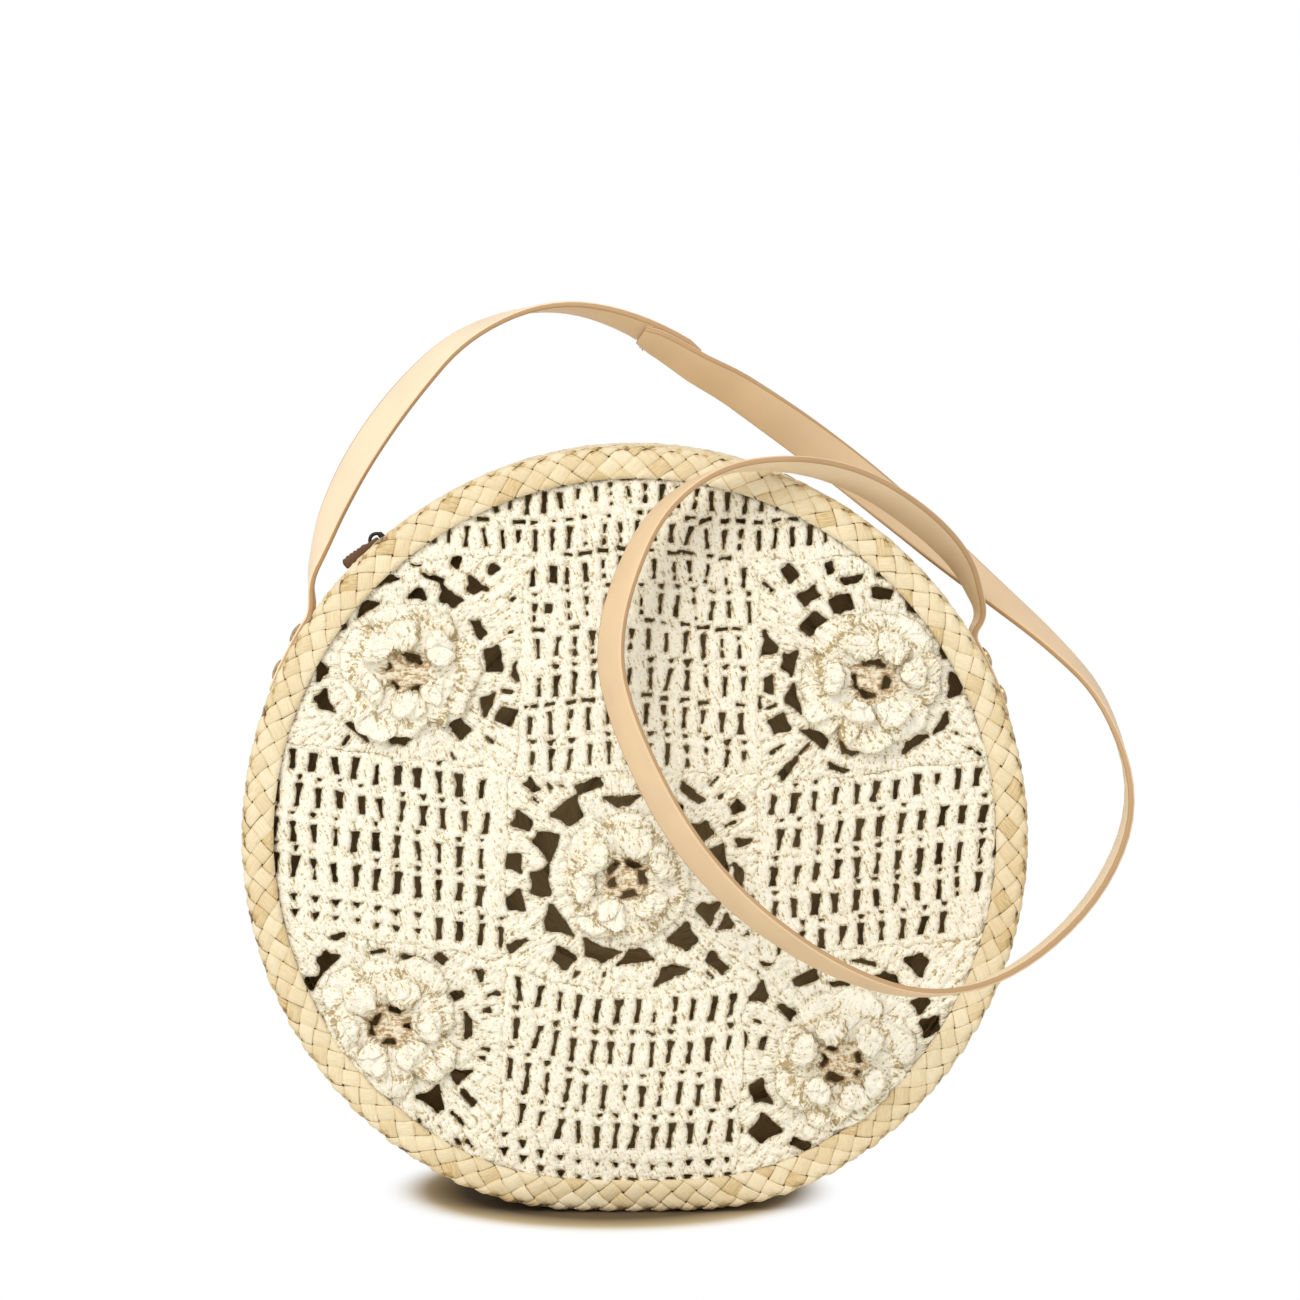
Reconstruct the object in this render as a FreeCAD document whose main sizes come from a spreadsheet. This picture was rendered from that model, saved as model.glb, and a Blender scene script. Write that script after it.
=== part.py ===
import FreeCAD, Part
import math
import os
import Sketcher

V = FreeCAD.Vector
doc = FreeCAD.newDocument("circle_bag")

# Driving dimensions in millimetres and degrees. The bag stands on the flat of its round side,
# the origin is the middle of that flat, Z is up and the crochet front faces -Y.
# Angles run round the bag's axis from +X over the top.
DIMENSIONS = {
    "bag_radius": 160, "bag_depth": 90, "base_sag": 7,
    "rim_face": 13, "rim_side": 10, "rim_thick": 2.8, "rim_round": 2.2,
    "wall_thick": 3, "seam_gap": 0.2, "back_thick": 3,
    "tab_left": 146, "tab_right": 30, "tab_angle": 13, "mouth_in_left": 4, "mouth_in_right": 8,
    "zip_slot": 14, "tape_under": 2,
    "crochet_thick": 4, "patch_wide_share": 0.58, "patch_high_share": 0.47,
    "panel_turn": 3.5, "panel_left": 2.7, "panel_drop": 11,
    "stitch_pitch": 7.15, "row_pitch": 15, "slot_width": 2.2, "slot_height": 9,
    "net_holes": 12, "net_gap": 1, "net_deep": 5.5, "net_yarn": 5,
    "lower_petals": 8, "lower_share": 0.373, "lower_rise": 5.5,
    "upper_petals": 6, "upper_share": 0.213, "upper_rise": 6.5,
    "petal_flare": 0.72, "petal_notch": 0.8, "petal_facets": 5, "flower_eye": 4.5,
    "zip_in_left": 7, "zip_in_right": 6, "tape_width": 15, "tape_thick": 0.6, "tape_gap": 1,
    "coil_width": 3.2, "coil_height": 1.6, "coil_rail": 0.8, "tooth_gap": 0.45,
    "tooth_count": 82, "tooth_share": 0.5, "stop_angle": 0.9, "stop_height": 1.9,
    "slider_in": 3, "slider_length": 11, "slider_nose": 9.6, "slider_tail": 7.2,
    "plate_thick": 1.2, "plate_gap": 0.3, "web_thick": 0.5,
    "bail_length": 8, "bail_height": 4.6, "bail_bar": 1.2, "bail_width": 2.2, "bail_at": 0.6,
    "pull_length": 17, "pull_thick": 2, "pull_eye": 4.5, "pull_clear": 0.35,
    "pull_width": 5.8, "pull_tip": 7,
    "strap_width": 17, "strap_thick": 2.6, "strap_gap": 0.15, "lap_length": 24,
    "rivet_in": 4, "rivet_step": 6, "rivet_shaft": 1.6, "rivet_cap": 4.3, "rivet_dome": 1.7,
    "backing_thick": 2, "backing_width": 24,
}
sheet = doc.addObject("Spreadsheet::Sheet", "sizes")
for row, (alias, value) in enumerate(DIMENSIONS.items(), 1):
    sheet.set(f"A{row}", alias)
    sheet.set(f"B{row}", str(value))
    sheet.setAlias(f"B{row}", alias)
doc.recompute()

AXIS_Z = "(sizes.bag_radius - sizes.base_sag)"
MOUTH_TO = "(sizes.tab_left - sizes.mouth_in_left)"
MOUTH_FROM = "(sizes.tab_right + sizes.mouth_in_right)"
ZIP_TO = f"({MOUTH_TO} - sizes.zip_in_left)"
ZIP_FROM = f"({MOUTH_FROM} + sizes.zip_in_right)"
SLIDER_AT = f"({ZIP_TO} - sizes.slider_in)"
HALF_DEPTH = "sizes.bag_depth / 2"
WALL_HALF = "(sizes.bag_depth / 2 - sizes.rim_side)"
TAPE_OUT = "(sizes.bag_radius - sizes.wall_thick - sizes.seam_gap)"
TAPE_IN = f"({TAPE_OUT} - sizes.tape_thick)"
COIL_OUT = f"({TAPE_OUT} + sizes.coil_height)"
PLATE_TOP = f"({COIL_OUT} + sizes.plate_gap + sizes.plate_thick)"


def size(alias):
    """A dimension from the sheet as a number."""
    return float(sheet.get(alias))


def cylinder(name, radius, y_back, length, start="0", sweep="360"):
    """A cylinder, or a slice of one, about the bag's axis, running forward from y_back."""
    obj = doc.addObject("Part::Cylinder", name)
    obj.setExpression("Radius", radius)
    obj.setExpression("Height", length)
    obj.setExpression("Angle", sweep)
    obj.setExpression("Placement", f"placement(vector(0; {y_back}; {AXIS_Z}); "
                      f"rotation(vector(1; 0; 0); 90) * rotation(vector(0; 0; 1); {start}))")
    return obj


def boolean(kind, name, base, tool):
    obj = doc.addObject(f"Part::{kind}", name)
    obj.Base, obj.Tool = base, tool
    return obj


def drum(name, inset, y_back, length):
    """The bag's round outline with its flat foot, set in by the given amount all round."""
    round_ = cylinder(f"{name}_round", f"sizes.bag_radius - ({inset})", y_back, length)
    above = doc.addObject("Part::Box", f"{name}_above")
    above.setExpression("Length", "2 * sizes.bag_radius")
    above.setExpression("Width", length)
    above.setExpression("Height", "2 * sizes.bag_radius")
    above.setExpression("Placement", f"placement(vector(-sizes.bag_radius; {y_back} - ({length}); "
                        f"{inset}); rotation(vector(0; 0; 1); 0))")
    return boolean("Common", name, round_, above)


def arc_band(name, inner, outer, y_back, length, start, sweep):
    """A length of curved wall about the bag's axis."""
    return boolean("Cut", name,
                   cylinder(f"{name}_outer", outer, y_back, length, start, sweep),
                   cylinder(f"{name}_inner", inner, y_back, length))


def radial_hole(name, angle, radius):
    """A bore from the bag's axis outwards at the given angle."""
    obj = doc.addObject("Part::Cylinder", name)
    obj.setExpression("Radius", radius)
    obj.setExpression("Height", "1.2 * sizes.bag_radius")
    obj.setExpression("Placement", f"placement(vector(0; 0; {AXIS_Z}); "
                      f"rotation(vector(0; 1; 0); 90 - ({angle})))")
    return obj


def body_at(name, angle):
    """A body with local Z along the radius at the given angle and local X along the rim."""
    body = doc.addObject("PartDesign::Body", name)
    body.setExpression("Placement", f"placement(vector(0; 0; {AXIS_Z}); "
                       f"rotation(vector(0; 1; 0); 90 - ({angle})))")
    return body


def origin_item(body, role):
    return [item for item in body.Origin.OriginFeatures if item.Role == role][0]


def outline(body, name, plane, corners, raise_by="0", windows=()):
    """A sketch of straight-sided loops, each corner held by two dimensions."""
    sketch = body.newObject("Sketcher::SketchObject", name)
    sketch.AttachmentSupport = [(origin_item(body, plane), "")]
    sketch.MapMode = "FlatFace"
    sketch.setExpression("AttachmentOffset.Base.z", raise_by)
    for loop in (corners, *windows):
        first = sketch.GeometryCount
        spots = []
        for x, y in loop:
            spots.append(V(evaluate(sketch, x), evaluate(sketch, y), 0))
        for i, spot in enumerate(spots):
            sketch.addGeometry(Part.LineSegment(spot, spots[(i + 1) % len(spots)]), False)
        for i, (x, y) in enumerate(loop):
            here, following = first + i, first + (i + 1) % len(loop)
            sketch.addConstraint(Sketcher.Constraint("Coincident", here, 2, following, 1))
            for kind, number, text in (("DistanceX", spots[i].x, x), ("DistanceY", spots[i].y, y)):
                held = sketch.addConstraint(Sketcher.Constraint(kind, -1, 1, here, 1, number))
                sketch.setExpression(f"Constraints[{held}]", text)
    return sketch


def evaluate(obj, text):
    value = obj.evalExpression(text)
    return float(getattr(value, "Value", value))


def pad(body, name, sketch, length, both_ways=False):
    feature = body.newObject("PartDesign::Pad", name)
    feature.Profile = sketch
    feature.Midplane = both_ways
    feature.setExpression("Length", length)
    return feature


def revolve(body, name, sketch, axis, sweep):
    feature = body.newObject("PartDesign::Revolution", name)
    feature.Profile = sketch
    feature.ReferenceAxis = (origin_item(body, axis), [""])
    feature.setExpression("Angle", sweep)
    return feature


# Rims: one plait each, folded round the corner, half on the face and half on the side.
for name, face_back, side_back, out in (
        ("front_rim", f"-{HALF_DEPTH} + sizes.rim_thick", f"-{HALF_DEPTH} + sizes.rim_side", -1),
        ("back_rim", HALF_DEPTH, f"{HALF_DEPTH} - sizes.rim_thick", 1)):
    face = boolean("Cut", f"{name}_face",
                   drum(f"{name}_disc", "0", face_back, "sizes.rim_thick"),
                   cylinder(f"{name}_window", "sizes.bag_radius - sizes.rim_face",
                            face_back, "sizes.rim_thick"))
    band_length = "sizes.rim_side - sizes.rim_thick"
    band = boolean("Cut", f"{name}_band",
                   drum(f"{name}_band_outer", "0", side_back, band_length),
                   drum(f"{name}_band_inner", "sizes.rim_thick", side_back, band_length))
    corner = boolean("Fuse", f"{name}_corner", face, band)
    corner.Refine = True
    doc.recompute()
    rim = doc.addObject("Part::Fillet", name)
    rim.Base = corner
    rim.Edges = [(i, size("rim_round"), size("rim_round"))
                 for i, edge in enumerate(corner.Shape.Edges, 1)
                 if abs(edge.CenterOfMass.y - out * size("bag_depth") / 2) < 0.01
                 and edge.BoundBox.ZMin < 0.01]

# Side wall: the plait rows below the mouth in one length, and a strip on each side of the zip.
mouth_sweep = f"{MOUTH_TO} - {MOUTH_FROM}"
wall = boolean("Cut", "side_wall_ring",
               drum("side_wall_outer", "0", WALL_HALF, f"2 * {WALL_HALF}"),
               drum("side_wall_inner", "sizes.wall_thick", WALL_HALF, f"2 * {WALL_HALF}"))
wall_lower = boolean("Cut", "side_wall_open", wall,
                     cylinder("mouth_slice", "1.5 * sizes.bag_radius", WALL_HALF,
                              f"2 * {WALL_HALF}", MOUTH_FROM, mouth_sweep))
strip_width = f"{WALL_HALF} - sizes.zip_slot / 2"
for name, y_back in (("mouth_strip_front", "-sizes.zip_slot / 2"), ("mouth_strip_back", WALL_HALF)):
    arc_band(name, "sizes.bag_radius - sizes.wall_thick", "sizes.bag_radius", y_back,
             strip_width, MOUTH_FROM, mouth_sweep)

# Back: a disc of coiled plait behind the back rim's fold.
drum("back_panel", "sizes.rim_thick + sizes.seam_gap",
     f"{HALF_DEPTH} - sizes.rim_thick", "sizes.back_thick")

# Crochet front: nine patches cut from one disc, set on the real grid, which leans a little.
# The double-crochet patches have a slot between posts, the flower squares a ring of openings.
front_y = -size("bag_depth") / 2 + size("rim_thick")
axis_z = size("bag_radius") - size("base_sag")
lean = math.radians(size("panel_turn"))
disc_inset = size("rim_thick") + size("seam_gap")
disc_radius = size("bag_radius") - disc_inset
seen_margin = 1
seen_radius = size("bag_radius") - size("rim_face") - seen_margin
patch_width = size("bag_radius") * size("patch_wide_share")
patch_height = size("bag_radius") * size("patch_high_share")
petal_reach = {ring: patch_height * size(f"{ring}_share") for ring in ("lower", "upper")}


def on_front(across, up):
    """A spot on the crochet front from its place on the leaning grid."""
    x = across * math.cos(lean) + up * math.sin(lean) - size("panel_left")
    z = up * math.cos(lean) - across * math.sin(lean) - size("panel_drop")
    return V(x, front_y, axis_z + z)


def loop_face(spots):
    return Part.Face(Part.makePolygon([*spots, spots[0]]))


def is_seen(spots):
    return all(math.hypot(p.x, p.z - axis_z) < seen_radius and p.z > size("rim_face") + seen_margin
               for p in spots)


def front_disc():
    drop = disc_inset - axis_z
    half = math.sqrt(disc_radius ** 2 - drop ** 2)
    left, right = V(-half, front_y, disc_inset), V(half, front_y, disc_inset)
    over = Part.Arc(left, V(0, front_y, axis_z + disc_radius), right).toShape()
    return Part.Face(Part.Wire([over, Part.makeLine(right, left)]))


def slots(low_across, high_across, low_up, high_up):
    """Slot loops between the posts of a double-crochet patch, row by row."""
    pitch, row = size("stitch_pitch"), size("row_pitch")
    half_w, half_h = size("slot_width") / 2, size("slot_height") / 2
    columns = int((high_across - low_across) / pitch)
    rows = int((high_up - low_up) / row)
    first_across = (low_across + high_across - (columns - 1) * pitch) / 2
    loops = []
    for j in range(rows):
        up = low_up + (j + 0.5) * row if low_up > -high_up else high_up - (j + 0.5) * row
        for i in range(columns):
            across = first_across + i * pitch
            loops.append([on_front(across + a * half_w, up + b * half_h)
                          for a, b in ((-1, -1), (1, -1), (1, 1), (-1, 1))])
    return [loop for loop in loops if is_seen(loop)]


def flower_middle(side, level):
    """A flower's middle on its patch, drawn in where its petals would meet the rim."""
    middle = on_front(STEP[side] * patch_width, STEP[level] * patch_height)
    reach = math.hypot(middle.x, middle.z - axis_z)
    share = min(1, (seen_radius - petal_reach["lower"]) / max(reach, 1))
    return V(middle.x * share, front_y, axis_z + (middle.z - axis_z) * share)


def net_openings(middle):
    """The ring of openings round a flower, with a yarn spoke between neighbours."""
    count = int(size("net_holes"))
    loops = []
    for i in range(count):
        towards = 2 * math.pi * (i + 0.5) / count
        loop = []
        for gap, ways in ((size("net_gap"), (-1, 1)), (size("net_gap") + size("net_deep"), (1, -1))):
            radius = petal_reach["lower"] + gap
            half = math.pi / count - size("net_yarn") / 2 / radius
            loop += [middle + V(radius * math.cos(towards + way * half), 0,
                                radius * math.sin(towards + way * half)) for way in ways]
        loops.append(loop)
    return [loop for loop in loops if is_seen(loop)]


half_w, half_h, far = patch_width / 2, patch_height / 2, 2 * size("bag_radius")
spans = {"low": (-far, -half_h), "mid": (-half_h, half_h), "high": (half_h, far)}
sides = {"left": (-far, -half_w), "mid": (-half_w, half_w), "right": (half_w, far)}
PATCHES = {
    "crochet_top": ("mid", "high"), "crochet_bottom": ("mid", "low"),
    "crochet_left": ("left", "mid"), "crochet_right": ("right", "mid"),
    "net_centre": ("mid", "mid"), "net_upper_left": ("left", "high"),
    "net_upper_right": ("right", "high"), "net_lower_left": ("left", "low"),
    "net_lower_right": ("right", "low"),
}
STEP = {"left": -1, "low": -1, "mid": 0, "right": 1, "high": 1}
whole_disc = front_disc()
for name, (side, level) in PATCHES.items():
    (a0, a1), (u0, u1) = sides[side], spans[level]
    cell = loop_face([on_front(a0, u0), on_front(a1, u0), on_front(a1, u1), on_front(a0, u1)])
    edge = whole_disc.common(cell).Faces[0].OuterWire
    if name.startswith("net"):
        holes = net_openings(flower_middle(side, level))
    else:
        reach = size("row_pitch") * math.ceil(size("bag_radius") / size("row_pitch"))
        holes = slots(max(a0, -reach), min(a1, reach), max(u0, -half_h - reach),
                      min(u1, half_h + reach))
    plate = Part.Face(edge)
    if holes:
        plate = plate.cut(Part.makeCompound([loop_face(loop) for loop in holes])).Faces[0]
    patch = doc.addObject("Part::Feature", name)
    patch.Shape = plate.extrude(V(0, size("crochet_thick"), 0))


# Flowers: a lower and an upper ring of petals on each flower square, flaring towards the front.
def scallop(centre, radius, petals, y):
    """A petal outline: each petal swells from notch to tip and back in a few facets."""
    facets = int(size("petal_facets"))
    notch = radius * size("petal_notch")
    spots = []
    for k in range(petals * facets):
        turn = 2 * math.pi * k / (petals * facets)
        reach = notch + (radius - notch) * math.sin(math.pi * (k % facets) / facets)
        spots.append(V(centre.x + reach * math.cos(turn), y, centre.z + reach * math.sin(turn)))
    return Part.makePolygon([*spots, spots[0]])


for place, side, level in (("centre", "mid", "mid"), ("upper_left", "left", "high"),
                           ("upper_right", "right", "high"), ("lower_left", "left", "low"),
                           ("lower_right", "right", "low")):
    middle = flower_middle(side, level)
    base_y = front_y
    for ring in ("lower", "upper"):
        radius, rise = petal_reach[ring], size(f"{ring}_rise")
        petals = int(size(f"{ring}_petals"))
        flare = Part.makeLoft([scallop(middle, radius * size("petal_flare"), petals, base_y),
                               scallop(middle, radius, petals, base_y - rise)], True, True)
        eye = Part.makeCylinder(size("flower_eye"), 3 * rise,
                                V(middle.x, base_y + rise, middle.z), V(0, -1, 0))
        flower = doc.addObject("Part::Feature", f"flower_{place}_{ring}")
        flower.Shape = flare.cut(eye)
        base_y -= rise

# Zip: two woven tapes under the mouth strips, a coil on each tape's outer face, and end stops.
for half, tape_back, way in (("front", "-sizes.tape_gap", -1), ("back", "sizes.tape_width", 1)):
    arc_band(f"zip_tape_{half}", TAPE_IN, TAPE_OUT, tape_back, "sizes.tape_width - sizes.tape_gap",
             f"{MOUTH_FROM} - sizes.tape_under", f"{mouth_sweep} + 2 * sizes.tape_under")
    coil = body_at(f"zip_coil_{half}", ZIP_TO)
    rail_in = f"{way} * (sizes.coil_width - sizes.coil_rail)"
    rail_out, tip = f"{way} * sizes.coil_width", f"{way} * sizes.tooth_gap"
    rail = outline(coil, f"coil_rail_{half}", "YZ_Plane",
                   [(rail_in, TAPE_OUT), (rail_out, TAPE_OUT), (rail_out, COIL_OUT),
                    (rail_in, COIL_OUT)])
    revolve(coil, f"coil_rail_turn_{half}", rail, "Y_Axis", f"{ZIP_TO} - {ZIP_FROM}")
    tooth_profile = outline(coil, f"coil_tooth_{half}", "YZ_Plane",
                            [(tip, TAPE_OUT), (rail_in, TAPE_OUT), (rail_in, COIL_OUT),
                             (tip, COIL_OUT)])
    pitch = f"({ZIP_TO} - {ZIP_FROM}) / sizes.tooth_count"
    tooth = revolve(coil, f"coil_tooth_turn_{half}", tooth_profile, "Y_Axis",
                    f"sizes.tooth_share * {pitch}")
    ring = coil.newObject("PartDesign::PolarPattern", f"coil_teeth_{half}")
    ring.Originals = [tooth]
    ring.Axis = (origin_item(coil, "Y_Axis"), [""])
    ring.setExpression("Occurrences", "sizes.tooth_count")
    ring.setExpression("Angle", f"(sizes.tooth_count - 1) * {pitch}")
    coil.Tip = ring

stop_top = f"{TAPE_OUT} + sizes.stop_height"
stop_length = "sizes.coil_width - sizes.tooth_gap"
top_stops = doc.addObject("Part::Compound", "zip_top_stops")
top_stops.Links = [arc_band(f"zip_top_stop_{half}", TAPE_OUT, stop_top, y_back, stop_length,
                            ZIP_TO, "sizes.stop_angle")
                   for half, y_back in (("front", "-sizes.tooth_gap - sizes.tape_gap / 2"),
                                        ("back", "sizes.coil_width + sizes.tape_gap / 2"))]
arc_band("zip_bottom_stop", TAPE_OUT, stop_top, "sizes.coil_width", "2 * sizes.coil_width",
         f"{ZIP_FROM} - sizes.stop_angle", "sizes.stop_angle")

# Slider: two plates, the web that joins them and the bail. Local X runs towards the open end.
slider = body_at("zip_slider", SLIDER_AT)
half_l = "sizes.slider_length / 2"
shield = []
for way in (-1, 1):
    side = [(f"-{half_l}", f"{way} * sizes.slider_nose / 3"),
            (f"-0.75 * {half_l}", f"{way} * sizes.slider_nose / 2"),
            (f"-0.2 * {half_l}", f"{way} * sizes.slider_nose / 2"),
            (f"0.5 * {half_l}", f"{way} * sizes.slider_tail / 2"),
            (half_l, f"{way} * sizes.slider_tail / 2")]
    shield += side if way < 0 else side[::-1]
LOW_PLATE = f"({TAPE_IN} - sizes.plate_gap - sizes.plate_thick)"
pad(slider, "low_plate", outline(slider, "low_plate_shape", "XY_Plane", shield, LOW_PLATE),
    "sizes.plate_thick")
web = [(f"-0.85 * {half_l}", "0"), (f"-0.5 * {half_l}", "-sizes.web_thick / 2"),
       (f"0.1 * {half_l}", "0"), (f"-0.5 * {half_l}", "sizes.web_thick / 2")]
pad(slider, "web", outline(slider, "web_shape", "XY_Plane", web, LOW_PLATE),
    f"{PLATE_TOP} - {LOW_PLATE}")
pad(slider, "top_plate", outline(slider, "top_plate_shape", "XY_Plane", shield,
                                 f"{PLATE_TOP} - sizes.plate_thick"), "sizes.plate_thick")
arch = []
for way in (-1, 1):
    outer_leg = f"sizes.bail_at + {way} * sizes.bail_length / 2"
    outer_bend = f"sizes.bail_at + {way} * 0.3 * sizes.bail_length"
    rise = f"{PLATE_TOP} + sizes.bail_height"
    leg = [(outer_leg, f"{PLATE_TOP} - sizes.plate_thick / 2"),
           (outer_leg, f"{PLATE_TOP} + 0.65 * sizes.bail_height"), (outer_bend, rise)]
    arch += leg if way < 0 else leg[::-1]
for way in (1, -1):
    inner_leg = f"sizes.bail_at + {way} * (sizes.bail_length / 2 - sizes.bail_bar)"
    inner_bend = f"sizes.bail_at + {way} * (0.3 * sizes.bail_length - sizes.bail_bar / 2)"
    leg = [(inner_leg, f"{PLATE_TOP} - sizes.plate_thick / 2"),
           (inner_leg, f"{PLATE_TOP} + 0.55 * sizes.bail_height"),
           (inner_bend, f"{PLATE_TOP} + sizes.bail_height - sizes.bail_bar")]
    arch += leg if way > 0 else leg[::-1]
pad(slider, "bail", outline(slider, "bail_shape", "XZ_Plane", arch), "sizes.bail_width", True)

# Pull: a tab with two arms and a round pin between them that turns inside the bail.
pull = body_at("zip_pull", SLIDER_AT)
waist = "sizes.bail_at - sizes.pull_eye"
tip_x = "sizes.bail_at - sizes.pull_length"
clear = "(sizes.bail_width / 2 + sizes.pull_clear)"
tab = []
for way in (1, -1):
    side = [(waist, f"{way} * {clear}"), ("sizes.bail_at", f"{way} * {clear}"),
            ("sizes.bail_at", f"{way} * sizes.pull_width / 2"),
            (f"{waist} - 1.5", f"{way} * sizes.pull_width / 2"),
            (f"{waist} - 4", f"{way} * sizes.pull_width / 3"),
            (f"{tip_x} + 5", f"{way} * sizes.pull_tip / 2"),
            (f"{tip_x} + 1", f"{way} * sizes.pull_tip / 2"), (tip_x, f"{way} * sizes.pull_tip / 4")]
    tab += side if way > 0 else side[::-1]
pad(pull, "tab", outline(pull, "tab_shape", "XY_Plane", tab, f"{PLATE_TOP} + sizes.plate_gap"),
    "sizes.pull_thick")
pin = pull.newObject("Sketcher::SketchObject", "pin_shape")
pin.AttachmentSupport = [(origin_item(pull, "XZ_Plane"), "")]
pin.MapMode = "FlatFace"
pin_across, pin_up = "sizes.bail_at", f"{PLATE_TOP} + sizes.plate_gap + sizes.pull_thick / 2"
pin_middle = V(evaluate(pin, pin_across), evaluate(pin, pin_up), 0)
pin.addGeometry(Part.Circle(pin_middle, V(0, 0, 1), size("pull_thick") / 2), False)
for kind, number, text in (("DistanceX", pin_middle.x, pin_across),
                           ("DistanceY", pin_middle.y, pin_up)):
    held = pin.addConstraint(Sketcher.Constraint(kind, -1, 1, 0, 3, number))
    pin.setExpression(f"Constraints[{held}]", text)
held = pin.addConstraint(Sketcher.Constraint("Radius", 0, size("pull_thick") / 2))
pin.setExpression(f"Constraints[{held}]", "sizes.pull_thick / 2")
pad(pull, "pin", pin, "sizes.pull_width", True)

# Strap ends: each end lies along the side wall and is held by two rivets through a leather
# patch inside.
wall_cut = wall_lower
bores = {}
backing_out = "sizes.bag_radius - sizes.wall_thick - sizes.seam_gap"
backing_in = f"{backing_out} - sizes.backing_thick"
seat = f"{backing_in} - 0.1"
cap_seat = "sizes.bag_radius + 2 * sizes.strap_gap + sizes.strap_thick"
for end, tab_angle, way in (("left", "sizes.tab_left", 1), ("right", "sizes.tab_right", -1)):
    bores[end] = []
    rivets = []
    middle = f"{tab_angle} + {way} * (sizes.rivet_in + sizes.rivet_step / 2)"
    patch = arc_band(f"backing_{end}_blank", backing_in, backing_out, "sizes.backing_width / 2",
                     "sizes.backing_width", f"{middle} - sizes.tab_angle / 2", "sizes.tab_angle")
    for k in (0, 1):
        angle = f"{tab_angle} + {way} * (sizes.rivet_in + {k} * sizes.rivet_step)"
        bore = radial_hole(f"rivet_bore_{end}_{k}", angle, "sizes.rivet_shaft + 0.1")
        bores[end].append(bore)
        wall_cut = boolean("Cut", f"side_wall_bore_{end}_{k}", wall_cut, bore)
        patch = boolean("Cut", f"backing_bore_{end}_{k}", patch, bore)
        rivet = body_at(f"rivet_{end}_{k}", angle)
        profile = outline(rivet, f"rivet_shape_{end}_{k}", "XZ_Plane", [
            ("0", f"{seat} - sizes.rivet_dome"), ("sizes.rivet_cap", f"{seat} - 0.8"),
            ("sizes.rivet_cap", seat), ("sizes.rivet_shaft", seat),
            ("sizes.rivet_shaft", cap_seat), ("sizes.rivet_cap", cap_seat),
            ("sizes.rivet_cap", f"{cap_seat} + 0.6"),
            ("0.6 * sizes.rivet_cap", f"{cap_seat} + 0.8 * sizes.rivet_dome"),
            ("0", f"{cap_seat} + sizes.rivet_dome")])
        revolve(rivet, f"rivet_turn_{end}_{k}", profile, "Z_Axis", "360")
        rivets.append(rivet)
    pair = doc.addObject("Part::Compound", f"strap_rivets_{end}")
    pair.Links = rivets
    patch.Label = f"strap_backing_{end}"
wall_cut.Label = "side_wall_lower"
doc.recompute()

# Strap: two lengths of leather, lap-joined just past the top of the arch. It rises from the left
# end, arches over the mouth, falls behind its own right end, loops out to the right and across the
# front, and comes up over the rim. The route is given as places across, back and up from the bag's
# axis, with the turn of the strap's width away from facing front, for a 160 by 90 bag with its
# strap ends at 146 and 30 degrees.
ROUTE = [
    (-135, 0, 104, 0), (-131, 0, 117, -15), (-125, 0, 134, -33), (-113, 0, 157, -44),
    (-94, 0, 183, -40), (-70, 0, 207, -20), (-34, 0, 219, 6), (2, 2, 210, 28), (37, 6, 186, 55),
    (65, 10, 167, 75), (89, 13, 149, 95), (111, 14, 131, 112), (132, 14, 113, 128),
    (150, 13, 98, 145), (175, 8, 77, 160), (196, -3, 54, 170), (206, -28, 15, 178),
    (188, -54, -21, 180), (152, -74, -50, 176), (117, -85, -58, 168), (82, -89, -48, 155),
    (48, -89, -26, 147), (26, -87, -4, 143), (8, -83, 23, 143), (-9, -77, 63, 146),
    (-10, -71, 88, 149), (-2, -67, 114, 155), (9, -64, 134, 164), (25, -62, 147, 177),
    (43, -59, 153, 190), (69, -51, 153, 200), (94, -38, 145, 210), (118, -23, 129, 214),
    (134, -11, 113, 206), (141, -4, 98, 192), (144, 0, 88, 182),
]
strap_radius = size("bag_radius") + size("strap_gap") + size("strap_thick") / 2
wide, deep = size("bag_radius") / 160, size("bag_depth") / 90
ROUTE_LEFT, ROUTE_RIGHT, POLES_THAT_FOLLOW, STATIONS_PER_SPAN = 146, 30, 6, 2


def on_wall(angle):
    """A spot in the middle of a strap end that lies on the side wall."""
    turn = math.radians(angle)
    return V(strap_radius * math.cos(turn), 0, axis_z + strap_radius * math.sin(turn))


def tab_poles(first, last, turn):
    """Poles along the side wall for a strap end."""
    return [(on_wall(first + (last - first) * i / 5), turn) for i in range(6)]


def route_pole(i):
    """A place on the route; those near an end move with that end."""
    x, y, z, turn = ROUTE[i]
    left = max(0, 1 - i / POLES_THAT_FOLLOW)
    right = max(0, 1 - (len(ROUTE) - 1 - i) / POLES_THAT_FOLLOW)
    move = ((on_wall(size("tab_left")) - on_wall(ROUTE_LEFT)) * left
            + (on_wall(size("tab_right")) - on_wall(ROUTE_RIGHT)) * right)
    return V(x * wide, y * deep, axis_z + z * wide) + move, turn


poles = tab_poles(size("tab_left") + size("tab_angle"), size("tab_left"), 0)
poles += [route_pole(i) for i in range(len(ROUTE))]
poles += tab_poles(size("tab_right"), size("tab_right") - size("tab_angle"), 180)
spans_in_route = len(poles) - 2
knots = list(range(spans_in_route + 1))
mults = [3] + [1] * (spans_in_route - 1) + [3]
route, turns = Part.BSplineCurve(), Part.BSplineCurve()
route.buildFromPolesMultsKnots([p for p, t in poles], mults, knots, False, 2)
turns.buildFromPolesMultsKnots([V(t, 0, 0) for p, t in poles], mults, knots, False, 2)


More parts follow.
